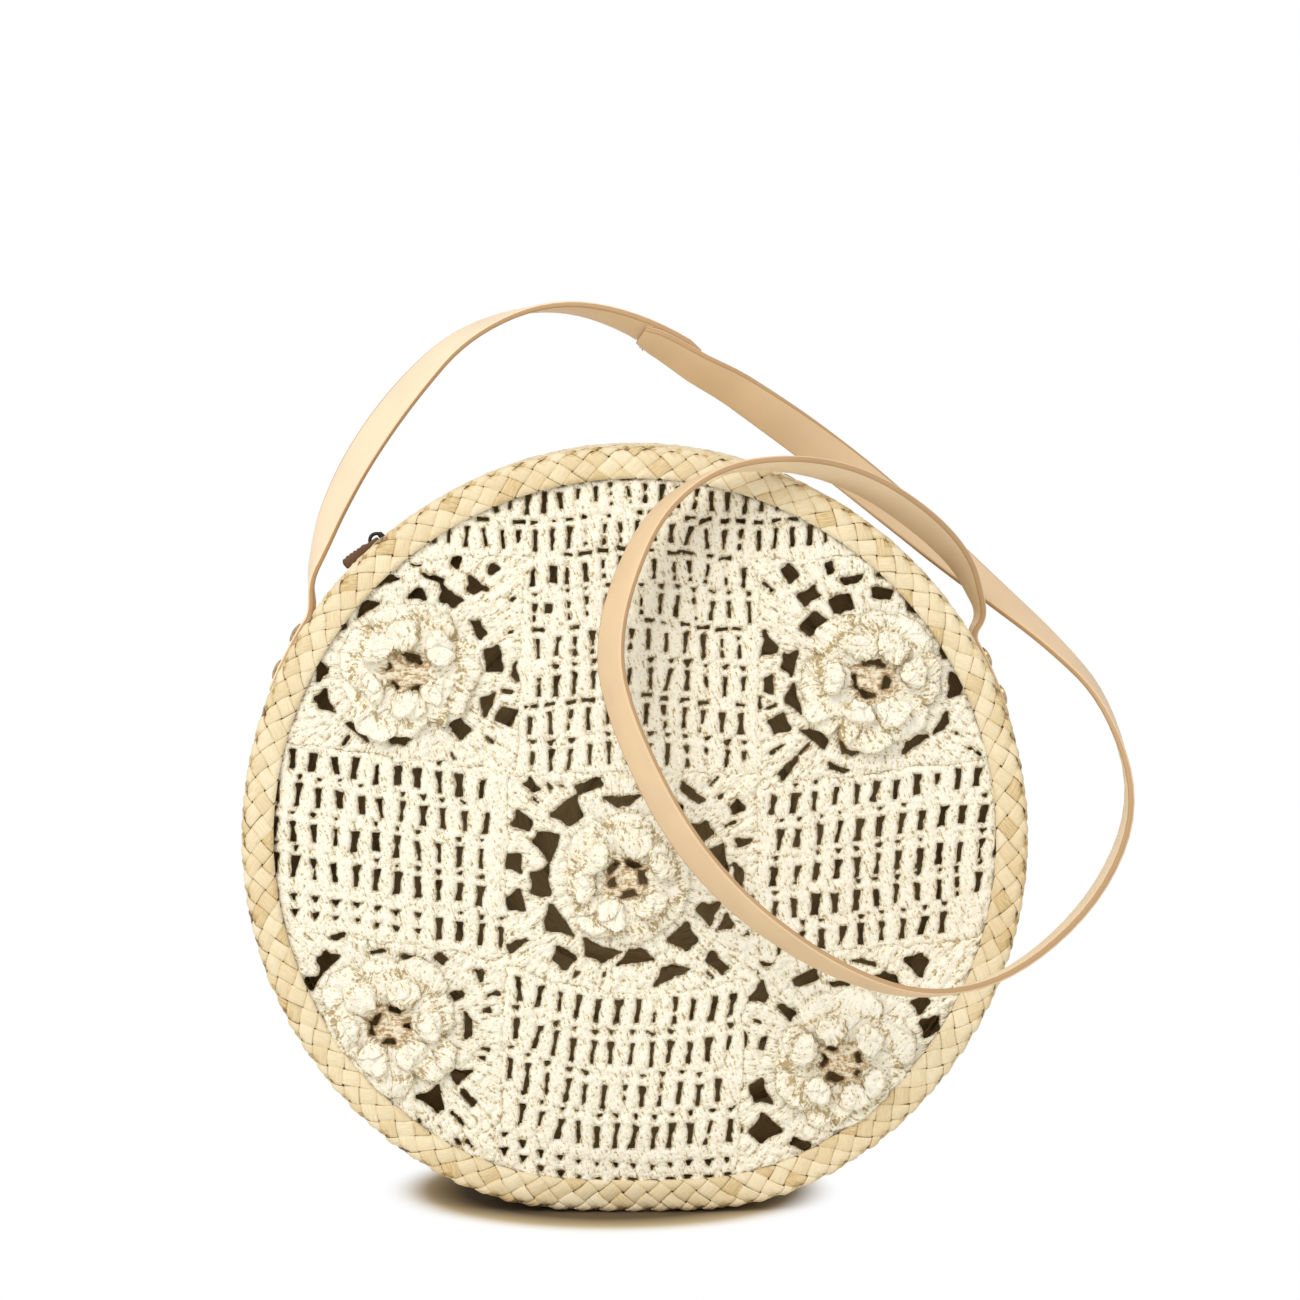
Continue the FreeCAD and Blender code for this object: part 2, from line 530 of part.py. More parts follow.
def strap_section(at, shift):
    """The strap's rectangle across the route, shifted through its thickness."""
    along = route.tangent(at)[0]
    turn = math.radians(turns.value(at).x)
    flank = V(-along.z, 0, along.x).normalize()
    width = V(0, -1, 0) * math.cos(turn) + flank * math.sin(turn)
    width = (width - along * width.dot(along)).normalize()
    through = along.cross(width).normalize()
    centre = route.value(at) + through * shift
    half, thick = width * (size("strap_width") / 2), through * (size("strap_thick") / 2)
    corners = [centre + half + thick, centre + half - thick, centre - half - thick,
               centre - half + thick]
    return Part.makePolygon([*corners, corners[0]])


def strap_length(name, stations, shift_at, holes):
    solid = Part.makeLoft([strap_section(at, shift_at(at)) for at in stations], True, True)
    solid = solid.cut([hole.Shape for hole in holes])
    piece = doc.addObject("Part::Feature", name)
    piece.Shape = solid.Solids[0]


lap_from = 12.55
lap_to = route.parameterAtDistance(size("lap_length"), lap_from)
ramp_to = route.parameterAtDistance(size("lap_length"), lap_to)
lap_shift = size("strap_thick") + size("strap_gap")


def stations_between(first, last):
    count = math.ceil(STATIONS_PER_SPAN * (last - first))
    return [first + (last - first) * i / count for i in range(count + 1)]


def under_lap(at):
    return lap_shift * min(1, max(0, (ramp_to - at) / (ramp_to - lap_to)))


lap = stations_between(lap_from, lap_to)
strap_length("strap_arch", stations_between(0, lap_from)[:-1] + lap, lambda at: 0, bores["left"])
strap_length("strap_loop", lap[:-1] + stations_between(lap_to, ramp_to)[:-1]
             + stations_between(ramp_to, spans_in_route), under_lap, bores["right"])
doc.recompute()

NODES = ["front_rim", "back_rim", "mouth_strip_front", "mouth_strip_back", "back_panel", *PATCHES,
         *[f"flower_{place}_{ring}" for ring in ("lower", "upper") for place in
           ("centre", "upper_left", "upper_right", "lower_left", "lower_right")],
         *[f"zip_{piece}_{half}" for piece in ("tape", "coil") for half in ("front", "back")],
         "zip_top_stops", "zip_bottom_stop", "zip_slider", "zip_pull", "strap_arch", "strap_loop",
         "strap_rivets_left", "strap_rivets_right"]
pieces = {name: doc.getObject(name) for name in NODES}
pieces["side_wall_lower"] = wall_cut
for end in ("left", "right"):
    pieces[f"strap_backing_{end}"] = doc.getObject(f"backing_bore_{end}_1")
for obj in doc.Objects:
    if "Invalid" in obj.State or "Error" in obj.State:
        raise RuntimeError(f"{obj.Name} did not recompute")
os.makedirs("parts", exist_ok=True)
for name, obj in pieces.items():
    obj.Label = name
    if obj.Shape.isNull() or not obj.Shape.isValid():
        raise RuntimeError(f"{name} has no valid shape")
    obj.Shape.exportStep(f"parts/{name}.step")
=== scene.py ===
import bpy
import math
import numpy as np
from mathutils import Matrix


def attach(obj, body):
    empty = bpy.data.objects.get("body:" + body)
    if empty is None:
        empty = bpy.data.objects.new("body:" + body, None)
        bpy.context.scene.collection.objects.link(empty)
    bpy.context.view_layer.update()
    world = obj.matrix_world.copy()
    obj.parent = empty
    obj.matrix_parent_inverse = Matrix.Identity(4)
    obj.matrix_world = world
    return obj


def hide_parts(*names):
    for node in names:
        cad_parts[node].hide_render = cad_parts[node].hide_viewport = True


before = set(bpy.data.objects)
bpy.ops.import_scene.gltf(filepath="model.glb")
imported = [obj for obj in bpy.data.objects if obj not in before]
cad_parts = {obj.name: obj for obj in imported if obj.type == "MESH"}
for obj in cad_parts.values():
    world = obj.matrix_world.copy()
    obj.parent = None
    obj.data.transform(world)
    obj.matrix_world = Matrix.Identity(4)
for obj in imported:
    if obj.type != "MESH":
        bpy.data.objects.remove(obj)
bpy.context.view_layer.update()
bpy.ops.object.select_all(action="DESELECT")

# Side wall: three rows of flat palm plait sewn edge to edge round the bag, and one wider row on
# each side of the zipped mouth. Each plait is split palm leaf woven over one and under one, at
# 45 degrees to its edges, so that every leaf shows as a small domed tile.
MM = 0.001
BAG_RADIUS = 160.0
AXIS_Z = 153.0
WALL_HALF = 35.0
MOUTH_FROM, MOUTH_TO = 38.0, 142.0
ZIP_SLOT = 14.0
SAG_DROP, SAG_ROUND = 2.5, 8.0
LEAF_WIDTH, LEAF_CREST, LEAF_DIP = 7.6, 0.55, 1.1
# How deep the nicks are pinched, and how much painted shade darkens them.
PINCH_DEEP, PINCH_SHADE = 1.3, 0.85
# The sheet under the tiles is toned dark as painted shade where it shows between them.
UNDERSIDE_TONE, INSIDE_TONE, GAP_SHADE_TONE = 0.45, 0.36, 0.8
PLAIT_SINK, SHEET_THICK, WALL_SEAM = 0.95, 1.6, 0.4
# The pale, gold and tan leaf colours vary at random from leaf to leaf; the dark brown is painted shade.
PALE_LEAF, GOLD_LEAF = (0.83, 0.73, 0.52), (0.68, 0.53, 0.29)
TAN_LEAF, GAP_SHADE_BROWN = (0.54, 0.37, 0.15), (0.15, 0.095, 0.04)


def rest_softly(up, flat):
    """Up, but no lower than the flat that the bag rests on, with a soft bend into it."""
    low = flat - SAG_DROP
    return (up + low + np.sqrt((up - low) ** 2 + SAG_ROUND ** 2)) / 2


def outline_spot(turn, inset):
    """Across and up on the bag's round outline, which sags flat where the bag stands."""
    radius = BAG_RADIUS - inset
    return radius * np.cos(turn), AXIS_Z + rest_softly(radius * np.sin(turn), inset - AXIS_Z)


def node_adder(tree):
    """A way to add nodes to a tree. A setting is the node's own or a socket's value, and a source goes
    to the socket of its name, or of its number as i0, i1 and so on."""
    def add(kind, settings=(), **sources):
        node = tree.nodes.new(kind)
        for key, value in settings:
            if isinstance(key, str) and hasattr(node, key):
                setattr(node, key, value)
            else:
                node.inputs[key].default_value = value
        for key, source in sources.items():
            numbered = key[0] == "i" and key[1:].isdigit()
            tree.links.new(source, node.inputs[int(key[1:]) if numbered else key])
        return node
    return add


def surface_of(material):
    """The shader that gives a material its looks."""
    return material.node_tree.nodes["Principled BSDF"]


def shader(name, roughness):
    """A new material, a way to add nodes to it and a way to give it colour and bumps."""
    material = bpy.data.materials.new(name)
    material.use_nodes = True
    tree, surface = material.node_tree, surface_of(material)
    add = node_adder(tree)
    surface.inputs["Roughness"].default_value = roughness

    def coat(colour, height=None, strength=0.0, depth=0.0):
        tree.links.new(colour, surface.inputs["Base Color"])
        if height is not None:
            bump = add("ShaderNodeBump", [("Strength", strength), ("Distance", depth)], Height=height)
            tree.links.new(bump.outputs["Normal"], surface.inputs["Normal"])
    return material, add, coat


def noise(add, place, scale, detail, roughness=0.5):
    """Soft random grain at a place."""
    settings = [("Scale", scale), ("Detail", detail), ("Roughness", roughness)]
    return add("ShaderNodeTexNoise", settings, Vector=place).outputs["Fac"]


def ramp_of(add, source, stops):
    """A colour ramp from a list of places and colours."""
    node = add("ShaderNodeValToRGB", Fac=source)
    while len(node.color_ramp.elements) < len(stops):
        node.color_ramp.elements.new(0.5)
    for element, (place, colour) in zip(node.color_ramp.elements, stops):
        element.position = place
        element.color = (*colour, 1)
    return node.outputs["Color"]


def palm_material():
    """Dry palm leaf: long fibres on each tile, and a tone of its own for every leaf. The tone also carries
    painted shade, which the ramp's dark brown end shows.
    """
    material, add, coat = shader("palm_leaf", 0.6)
    uv = add("ShaderNodeUVMap", [("uv_map", "weave")]).outputs["UV"]
    fibres = add("ShaderNodeMapping", [("Scale", (0.7, 7.0, 1.0))], Vector=uv).outputs["Vector"]
    streaks = noise(add, fibres, 2.2, 4.0, 0.65)
    tone = add("ShaderNodeAttribute", [("attribute_name", "tone")]).outputs["Fac"]
    mixed = add("ShaderNodeMath", [("operation", "MULTIPLY_ADD"), (1, 0.66)],
                i0=streaks, i2=tone).outputs["Value"]
    colour = ramp_of(add, mixed, [(0.29, PALE_LEAF), (0.63, GOLD_LEAF), (0.74, TAN_LEAF), (0.95, GAP_SHADE_BROWN)])
    coat(colour, streaks, 0.5, 0.0005)
    return material


def make_piece(name, parts, material, nodes, body="bag"):
    """One mesh from many small parts: each has vertices in mm, faces, a UV spot per vertex and a
    tone. It moves with a body, and stands in for CAD nodes if it has any."""
    verts, faces, spots, tones, first = [], [], [], [], 0
    for part_verts, part_faces, part_spots, tone in parts:
        verts.append(part_verts)
        spots.append(part_spots)
        faces += [tuple(first + i for i in face) for face in part_faces]
        tones += np.broadcast_to(tone, len(part_faces)).tolist()
        first += len(part_verts)
    mesh = bpy.data.meshes.new(name)
    mesh.from_pydata((np.concatenate(verts) * MM).tolist(), [], faces)
    corners = np.zeros(len(mesh.loops), np.int32)
    mesh.loops.foreach_get("vertex_index", corners)
    layer = mesh.uv_layers.new(name="weave")
    layer.data.foreach_set("uv", np.concatenate(spots)[corners].astype(np.float32).ravel())
    mesh.attributes.new("tone", "FLOAT", "FACE").data.foreach_set("value", tones)
    mesh.polygons.foreach_set("use_smooth", np.ones(len(mesh.polygons), bool))
    mesh.materials.append(material)
    mesh.validate()
    piece = bpy.data.objects.new(name, mesh)
    bpy.context.scene.collection.objects.link(piece)
    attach(piece, body)
    if nodes:
        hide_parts(*nodes)
    return piece


def grid_faces(rows, columns):
    """Quads of a grid of vertices, wound so that they face the way of rows cross columns."""
    return [(r * columns + c, (r + 1) * columns + c, (r + 1) * columns + c + 1, r * columns + c + 1)
            for r in range(rows - 1) for c in range(columns - 1)]


def grid_border(rows, columns):
    """The vertices round the edge of such a grid, in the order that its own quads pass them."""
    return ([r * columns for r in range(rows)] + [(rows - 1) * columns + c for c in range(1, columns)]
            + [r * columns + columns - 1 for r in range(rows - 2, -1, -1)] + list(range(columns - 2, 0, -1)))


def four_corners(grid):
    """The values at the four corners of each cell of a grid."""
    return grid[:-1, :-1], grid[1:, :-1], grid[:-1, 1:], grid[1:, 1:]


def plait(place, length, width, chance, closed=False, flip=False, puff=0.3, rows=None, nick=None):
    """The closed leaf tiles of one band of plait. place(s, w, h) puts a spot along, across and above the
    band into the bag's space. Leaves fold round the band's edges. nick(s, w) is how far the leaves
    are pinched down at a spot, from 0 to 1, and the pinch is also darkened with painted shade."""
    along_count = max(3, round(length / (LEAF_WIDTH * math.sqrt(2))))
    step = length / along_count
    across_count = rows or max(2, round(2 * width / (LEAF_WIDTH * math.sqrt(2))))
    rise = 2 * width / across_count
    reach = np.array([-1.3, -0.98, -0.6, 0.0, 0.6, 0.98, 1.3])
    side = np.array([-0.93, -0.9, -0.78, 0.0, 0.78, 0.9, 0.93])
    drop = np.array([1.0, 0.1, 0.0, -0.05, 0.0, 0.1, 1.0])
    a, b = np.meshgrid(reach, side, indexing="ij")
    height = LEAF_CREST - LEAF_DIP * (np.abs(a) / reach[-1]) ** 5 - drop[None, :] - puff * (b * b - 0.5)
    size = len(reach)
    border = grid_border(size, size)
    faces = grid_faces(size, size) + [(border[k], border[k - 1], border[k - 2], size * size)
                                      for k in range(0, len(border), 2)]
    if flip:
        faces = [face[::-1] for face in faces]
    # Painted shade: each tile's tone is darker along its edges, where it dips under the next leaves.
    tile_edge_shade = np.zeros((size - 1, size - 1))
    tile_edge_shade[:, [0, -1]] = 0.45
    tile_edge_shade[[0, -1]] += 0.12
    parts = []
    for m in range(2 * along_count + (0 if closed else 1)):
        for n in range(m % 2, across_count + 1, 2):
            lean = 1 if m % 2 == 0 else -1
            wide, skew = chance.uniform(0.97, 1.07), chance.normal(0, 0.035)
            across = b * wide + skew * a
            w = n * rise / 2 + (a * lean + across) * rise / 4
            s = m * step / 2 + (a - across * lean) * step / 4
            if not closed:
                s = np.clip(s, 0, length)
            past = np.maximum(-w, 0) + np.maximum(w - width, 0)
            w_in = np.clip(w, -0.3, width + 0.3)
            tilt = chance.normal(0, 0.12) * a + chance.normal(0, 0.24) * b
            h = height + tilt - 0.8 * np.minimum(past, 2.2) + chance.uniform(-0.12, 0.12)
            tone = min(0.32, chance.gamma(1.7, 0.08)) + tile_edge_shade * chance.uniform(0.6, 1.1)
            if nick:
                pinch = nick(s, w)
                h = h - PINCH_DEEP * pinch
                # Painted shade: the pinched spots are darkened.
                tone = tone + PINCH_SHADE * sum(four_corners(pinch)) / 4
            spots = np.stack([a * 0.45 + chance.uniform(0, 50), b * 0.4 + chance.uniform(0, 50)], -1)
            order = faces if lean > 0 else [face[::-1] for face in faces]
            verts, spots = np.stack(place(s, w_in, h), -1).reshape(-1, 3), spots.reshape(-1, 2)
            parts.append((np.vstack([verts, verts[border].mean(0)]), order,
                          np.vstack([spots, spots[border].mean(0)]),
                          np.append(tone, [UNDERSIDE_TONE] * (len(border) // 2))))
    return parts


def sheet_under(place, length, width, flip=False, columns=4, sink=0.35):
    """The plain thickness of plait under the tiles: an outer and an inner skin, closed round. Its outer skin
    and walls are toned dark brown as painted shade, where they show in the gaps and seams between tiles.
    """
    rows = max(4, int(length / 8))
    s, w = np.meshgrid(np.linspace(0, length, rows), np.linspace(0, width, columns), indexing="ij")
    outer = np.stack(place(s, w, np.full_like(s, -sink)), -1).reshape(-1, 3)
    inner = np.stack(place(s, w, np.full_like(s, -sink - SHEET_THICK)), -1).reshape(-1, 3)
    count = rows * columns
    top = grid_faces(rows, columns)
    under = [tuple(count + i for i in face[::-1]) for face in top]
    border = grid_border(rows, columns)
    walls = [(border[i - 1], border[i], border[i] + count, border[i - 1] + count)
             for i in range(len(border))]
    faces = top + under + [face[::-1] for face in walls]
    if flip:
        faces = [face[::-1] for face in faces]
    spots = np.stack([s / 12, w / 5], -1).reshape(-1, 2)
    # Painted shade: the outer skin and walls take the dark gap tone, the inner skin a plain leaf tone.
    tone = np.where((np.arange(len(faces)) // len(top)) == 1, INSIDE_TONE, GAP_SHADE_TONE)
    return [(np.concatenate([outer, inner]), faces, np.concatenate([spots, spots]), tone)]


palm = palm_material()


def wall_place(first_turn, first_y):
    """A band of the wall, from its first turn round the bag and its first place back."""
    def place(s, w, h):
        x, z = outline_spot(first_turn + s / BAG_RADIUS, PLAIT_SINK - h)
        return x, first_y + w, z
    return place


chance = np.random.default_rng(11)
wall_sweep = math.radians(360 - MOUTH_TO + MOUTH_FROM)
row_width = 2 * WALL_HALF / 3
wall_parts = []
for row in range(3):
    place = wall_place(math.radians(MOUTH_TO), -WALL_HALF + row * row_width)
    wall_parts += plait(place, wall_sweep * BAG_RADIUS, row_width - WALL_SEAM, chance)
    wall_parts += sheet_under(place, wall_sweep * BAG_RADIUS, row_width)
make_piece("wall_plait", wall_parts, palm, ["side_wall_lower"])
strip_width = WALL_HALF - ZIP_SLOT / 2
strip_length = math.radians(MOUTH_TO - MOUTH_FROM) * BAG_RADIUS
for half, first_y in (("front", -WALL_HALF), ("back", ZIP_SLOT / 2)):
    place = wall_place(math.radians(MOUTH_FROM), first_y)
    make_piece(f"mouth_plait_{half}",
               plait(place, strip_length, strip_width, chance)
               + sheet_under(place, strip_length, strip_width), palm,
               [f"mouth_strip_{half}"])

# Back: rounds of the same plait, one inside the other and sewn edge to edge, from the rim in to a
# small button of plait that closes the middle.
BACK_Y, BACK_REST = 42.2, -149.5
COIL_TURNS, COIL_WIDTH, COIL_INSET, COIL_SEAM = 7, 22.37, 3.4, 0.3
coil_outer = BAG_RADIUS - COIL_INSET


def coil_place(mid_radius):
    """One round of the back, flat but for where the bag rests."""
    def place(s, w, h):
        turn = math.pi / 2 + s / mid_radius
        radius = mid_radius + COIL_WIDTH / 2 - w
        return radius * np.cos(turn), BACK_Y + h, AXIS_Z + rest_softly(radius * np.sin(turn), BACK_REST)
    return place


back_parts = []
for turn in range(COIL_TURNS):
    mid = coil_outer - COIL_WIDTH / 2 - turn * COIL_WIDTH
    place = coil_place(mid)
    back_parts += plait(place, 2 * math.pi * mid, COIL_WIDTH - COIL_SEAM, chance, closed=True, flip=True)
    back_parts += sheet_under(place, 2 * math.pi * mid, COIL_WIDTH, flip=True)
make_piece("back_coil", back_parts, palm, ["back_panel"])

# Rims: one plait folded over each corner of the drum, partly on the face and partly on the side,
# and sewn through both. It covers the raw edges of the crochet and of the back.
HALF_DEPTH = 45.0
RIM_FACE, RIM_SIDE, RIM_ROUND = 13.0, 10.0, 2.4
NICKS, NICK_AT, NICK_SLANT, NICK_LONG, NICK_WIDE = 94, 13.5, 0.6, 1.4, 1.6
rim_bend = RIM_ROUND * math.pi / 2
rim_width = RIM_FACE - RIM_ROUND + rim_bend + RIM_SIDE - RIM_ROUND
rim_length = 2 * math.pi * BAG_RADIUS
nick_step = rim_length / NICKS


def rim_place(way):
    """way is -1 for the front rim and 1 for the back one."""
    def place(s, w, h):
        turn = s / BAG_RADIUS
        bend = np.clip((w - RIM_FACE + RIM_ROUND) / RIM_ROUND, 0, math.pi / 2)
        inset = np.maximum(RIM_FACE - w, RIM_ROUND) - RIM_ROUND * np.sin(bend)
        back = (RIM_ROUND - RIM_ROUND * np.cos(bend)
                + np.maximum(w - RIM_FACE + RIM_ROUND - rim_bend, 0))
        sink = PLAIT_SINK - h
        x, z = outline_spot(turn, inset + sink * np.sin(bend))
        return x, way * (HALF_DEPTH - back - sink * np.cos(bend)), z
    return place


def outer_nick(s, w):
    """The nicks round the outer edge, where one leaf folds over behind the next: how far the leaves are
    pinched down there, which the plait also darkens as painted shade.
    """
    off = ((s / nick_step + 0.5) % 1 - 0.5) * nick_step
    return np.exp(-((off - NICK_SLANT * (w - NICK_AT)) / NICK_LONG) ** 2 - ((w - NICK_AT) / NICK_WIDE) ** 2)


for name, node, way in (("rim_plait_front", "front_rim", -1), ("rim_plait_back", "back_rim", 1)):
    parts = plait(rim_place(way), rim_length, rim_width, chance, closed=True, flip=way > 0, puff=0.55,
                  rows=5, nick=outer_nick)
    parts += sheet_under(rim_place(way), rim_length, rim_width, flip=way > 0, columns=9, sink=1.3)
    make_piece(name, parts, palm, [node])

# Crochet front, double-crochet panels: thick cream yarn of loosely twisted fibre, worked to and fro
# in rows. Plump posts stand between two solid bands, where heads and feet meet, so that only a
# short slot stays open between them. The panels are sewn to the squares and into the rim.
FRONT_Y, FRONT_FREE, FRONT_BOW, FRONT_TUCK = -40.6, 141.0, 1.4, 2.2
CREAM, PALE_CREAM, FLECK = (0.90, 0.83, 0.64), (0.96, 0.92, 0.80), (0.46, 0.35, 0.18)


def yarn_material(name, pale, cream, fleck):
    """Loosely twisted fibre yarn: fibres that run slantwise along each strand, and small flecks. The piece's
    tone attribute, mostly painted shade, moves its colour towards the fleck colour.
    """
    material, add, coat = shader(name, 0.9)
    uv = add("ShaderNodeUVMap", [("uv_map", "weave")]).outputs["UV"]
    slant = add("ShaderNodeMapping", [("Scale", (2.0, 8.5, 1.0))], Vector=uv).outputs["Vector"]
    fibres = noise(add, slant, 1.0, 3.0, 0.6)
    patches = noise(add, add("ShaderNodeTexCoord").outputs["Object"], 720.0, 2.0, 0.6)
    mixed = add("ShaderNodeMath", [("operation", "MULTIPLY_ADD"), (1, 0.9)],
                i0=patches, i2=fibres).outputs["Value"]
    # The tone attribute carries each piece's painted shade.
    tone = add("ShaderNodeAttribute", [("attribute_name", "tone")]).outputs["Fac"]
    toned = add("ShaderNodeMath", [("operation", "ADD")], i0=mixed, i1=tone).outputs["Value"]
    coat(ramp_of(add, toned, [(0.70, fleck), (0.84, cream), (0.97, pale)]), mixed, 0.9, 0.0012)
    return material


# The squares' corners, across and up from the bag's middle.
SQUARES = {
    "centre": [(-51, 27), (49, 28), (50, -56), (20, -61.5), (-14, -62), (-53, -52)],
    "upper_left": [(-156, 42), (-48, 27), (-46, 102), (-40, 114.5), (-156, 114.5)],
    "upper_right": [(50, 21), (156, 35), (156, 114.5), (44, 114.5), (50, 102)],
    "lower_left": [(-156, -34), (-52, -48), (-57, -136), (-66, -156), (-156, -156)],
    "lower_right": [(45, -50), (156, -38), (156, -156), (41, -156)],
}
UNDER_RIM, SEAM_LAP = 153.0, 0.8
# Each panel: the heights and spans of its rows, the pitch of its lowest and highest row, how tall a row is,
# the width of slots and marks, how far posts lean, where the panel ends inwards and how its rows bend.
PANELS = {
    "crochet_top": {
        "rows": [35.9, 51.2, 66.2, 81.7, 96.4, 110.9, 125.4, 140.6], "dashed": (1, 3, 5, 6, 7),
        "spans": [(-49, 51)] * 3 + [(-48, 51)] * 2 + [(-46, 50), (-90, 92), (-90, 90)],
        "pitch": (7.9, 6.75), "height": 15.0, "slot": 1.4, "mark": 1.0, "lean": 0.1,
        "holes": [(-33, 108, 3.6, 8), (-35, 94, 3.8, 4.4)],
        "inner": lambda x, z: np.minimum(z - 22, np.maximum(z - 90, 56 - np.abs(x))),
        "drift": lambda x: -4.0 * np.sin(np.pi * np.clip(x, -90, 90) / 90) ** 2},
    "crochet_bottom": {
        "rows": [-138.0, -122.4, -105.6, -88.0, -70.7], "tight_to": UNDER_RIM,
        "spans": [(-76, 54), (-60, 44), (-60, 44), (-58, 46), (-56, 48)],
        "pitch": (7.6, 7.9), "height": 17.0, "slot": 1.65, "mark": 0.95, "lean": 0.55,
        "inner": lambda x, z: -51 - z,
        "drift": lambda x: np.where(x < -5, 0.0055 * (x + 5) ** 2, 0.0015 * (x + 5) ** 2)},
    "crochet_left": {
        "rows": [-33.0, -17.5, -2.6, 12.2, 26.4], "tight_to": -80, "spans": [(-156, -52)] * 5,
        "pitch": (8.4, 8.5), "height": 14.8, "slot": 2.05, "mark": 0.75, "lean": 0.1,
        "inner": lambda x, z: -49 - x, "drift": lambda x: -0.16 * (x + 98)},
    "crochet_right": {
        "rows": [-37.0, -23.0, -9.0, 5.7, 20.4], "spans": [(50, 128)] + [(50, 156)] * 4,
        "pitch": (8.3, 8.3), "height": 14.6, "slot": 2.0, "mark": 0.8, "lean": 0.45,
        "inner": lambda x, z: x - 47, "drift": lambda x: 0.137 * (x - 102)},
}
BOX = ((-1, -1), (1, -1), (1, 1), (-1, 1))
NOTCH = ((-1, 1.4), (1, 1.4), (0, -1.6))
SKEWED = ((-1, -0.8), (0.8, -1), (1, 0.8), (-0.8, 1))
SLOT_TALL, ROW_TALL, SLOT_ROOM, TIGHT_ENDS = 8.6, 15, 3.2, (-3.2, 3.2)
DASH_WIDE, MARK_ROOM, MARK_MISSED = 1.2, 2.5, 0.12
CRUMB, FINE_STEP, EDGE_PULLS, PROBE = 60, 0.8, 3, 0.1
PANEL_ROUND, SHEET_BEHIND = 1.8, 1.3


def soft_front(x, z):
    """How far the soft front stands forward of flat: a slight crown with lazy waves in it. It draws
    back where it runs under the rim."""
    up = z - AXIS_Z
    radius = np.hypot(x, up)
    tuck = FRONT_TUCK * np.clip((radius - FRONT_FREE) / 8.0, 0, 1) ** 2
    return (FRONT_BOW * np.maximum(0, 1 - (radius / 145.0) ** 2) - tuck
            + 0.5 * np.sin(x / 17.0 + 1.0) * np.cos(up / 21.0))


def out_of_gap(spots, corners):
    """How far spots lie outside a gap whose sides bow in a little, in mm. It is below 0 inside it."""
    if len(corners) > 4:
        return -inside_border(spots, corners.tolist())
    far = np.full(len(spots), -99.0)
    short = np.linalg.norm(corners - np.roll(corners, -1, 0), axis=1).min()
    for p, q in zip(corners, np.roll(corners, -1, 0)):
        side = q - p
        length = np.linalg.norm(side)
        normal = np.array([side[1], -side[0]]) / length
        normal *= np.sign(normal @ (p - corners.mean(0)))
        share = np.clip(2 * ((spots - p) @ side) / length ** 2 - 1, -1, 1)
        far = np.maximum(far, (spots - p) @ normal + min(0.05 * length, 0.22 * short) * (1 - share ** 2))
    return far


def clear_of(gaps, spots, near):
    """near, but no more than the way from spots to the nearest of some gaps."""
    for gap in gaps:
        close = np.nonzero(((spots > gap.min(0) - 4) & (spots < gap.max(0) + 4)).all(1))[0]
        near[close] = np.minimum(near[close], out_of_gap(spots[close], gap))
    return near


def inside_border(spots, corners):
    """How far spots lie inside a border, in mm. It is below 0 outside it."""
    near, inside = np.full(len(spots), 99.0), np.zeros(len(spots), bool)
    for (x0, z0), (x1, z1) in zip(corners, corners[1:] + corners[:1]):
        side, off = np.array([x1 - x0, z1 - z0]), spots - np.array([x0, z0])
        share = np.clip(off @ side / (side @ side), 0, 1)
        near = np.minimum(near, np.linalg.norm(off - share[:, None] * side, axis=1))
        crosses = (z0 > spots[:, 1]) != (z1 > spots[:, 1])
        inside ^= crosses & (spots[:, 0] < x0 + (spots[:, 1] - z0) / ((z1 - z0) or 1) * (x1 - x0))
    return np.where(inside, near, -near)


def lumps(x, z, size, chance):
    """Smooth random lumps of about one size in mm, from -1 to 1."""
    count = 97
    grid = chance.uniform(-1, 1, (count, count))
    i, j = np.floor(x / size).astype(int), np.floor(z / size).astype(int)
    u, v = x / size - i, z / size - j
    u, v = u * u * (3 - 2 * u), v * v * (3 - 2 * v)
    i, j, after_i, after_j = i % count, j % count, (i + 1) % count, (j + 1) % count
    near = grid[i, j] * (1 - u) + grid[after_i, j] * u
    far = grid[i, after_j] * (1 - u) + grid[after_i, after_j] * u
    return near * (1 - v) + far * v


def seeded_lumps(x, z, sizes, seeds):
    """Lumps of several sizes, which stay in place wherever the same seeds are given."""
    return [lumps(x, z, size, np.random.default_rng(seed)) for size, seed in zip(sizes, seeds)]


def inside_seam(spots, corners):
    """As inside_border, for a border that wanders to and fro as sewn crochet does."""
    moved = []
    for seed in (61, 63):
        broad, fine = seeded_lumps(*spots.T, (8.0, 3.7), (seed, seed + 1))
        moved.append(1.7 * broad + 0.8 * fine)
    return inside_border(spots + np.stack(moved, -1), corners)


def ragged(spots, seed):
    """How far the fuzz of the yarn pushes an edge to and fro, in mm."""
    broad, fine = seeded_lumps(*spots.T, (2.3, 1.3), (seed, seed + 1))
    return 0.38 * broad + 0.22 * fine


def rounded(room, reach):
    """From 0 at an edge to 1 at some reach from it, as a strand's round side rises."""
    return np.sqrt(1 - (1 - np.clip(room / reach, 0, 1)) ** 2)


def without_crumbs(keep):
    """The kept cells that lie in blocks of two by two, without loose islands of a few cells."""
    solid = np.logical_and.reduce(four_corners(keep))
    whole = np.zeros_like(keep)
    for corner in four_corners(whole):
        corner |= solid
    left = set(zip(*(line.tolist() for line in np.nonzero(whole))))
    while left:
        island, waiting = [], [left.pop()]
        while waiting:
            i, j = waiting.pop()
            island.append((i, j))
            near = left & {(i + 1, j), (i - 1, j), (i, j + 1), (i, j - 1)}
            left -= near
            waiting.extend(near)
        if len(island) < CRUMB:
            whole[tuple(np.array(island).T)] = False
    return whole


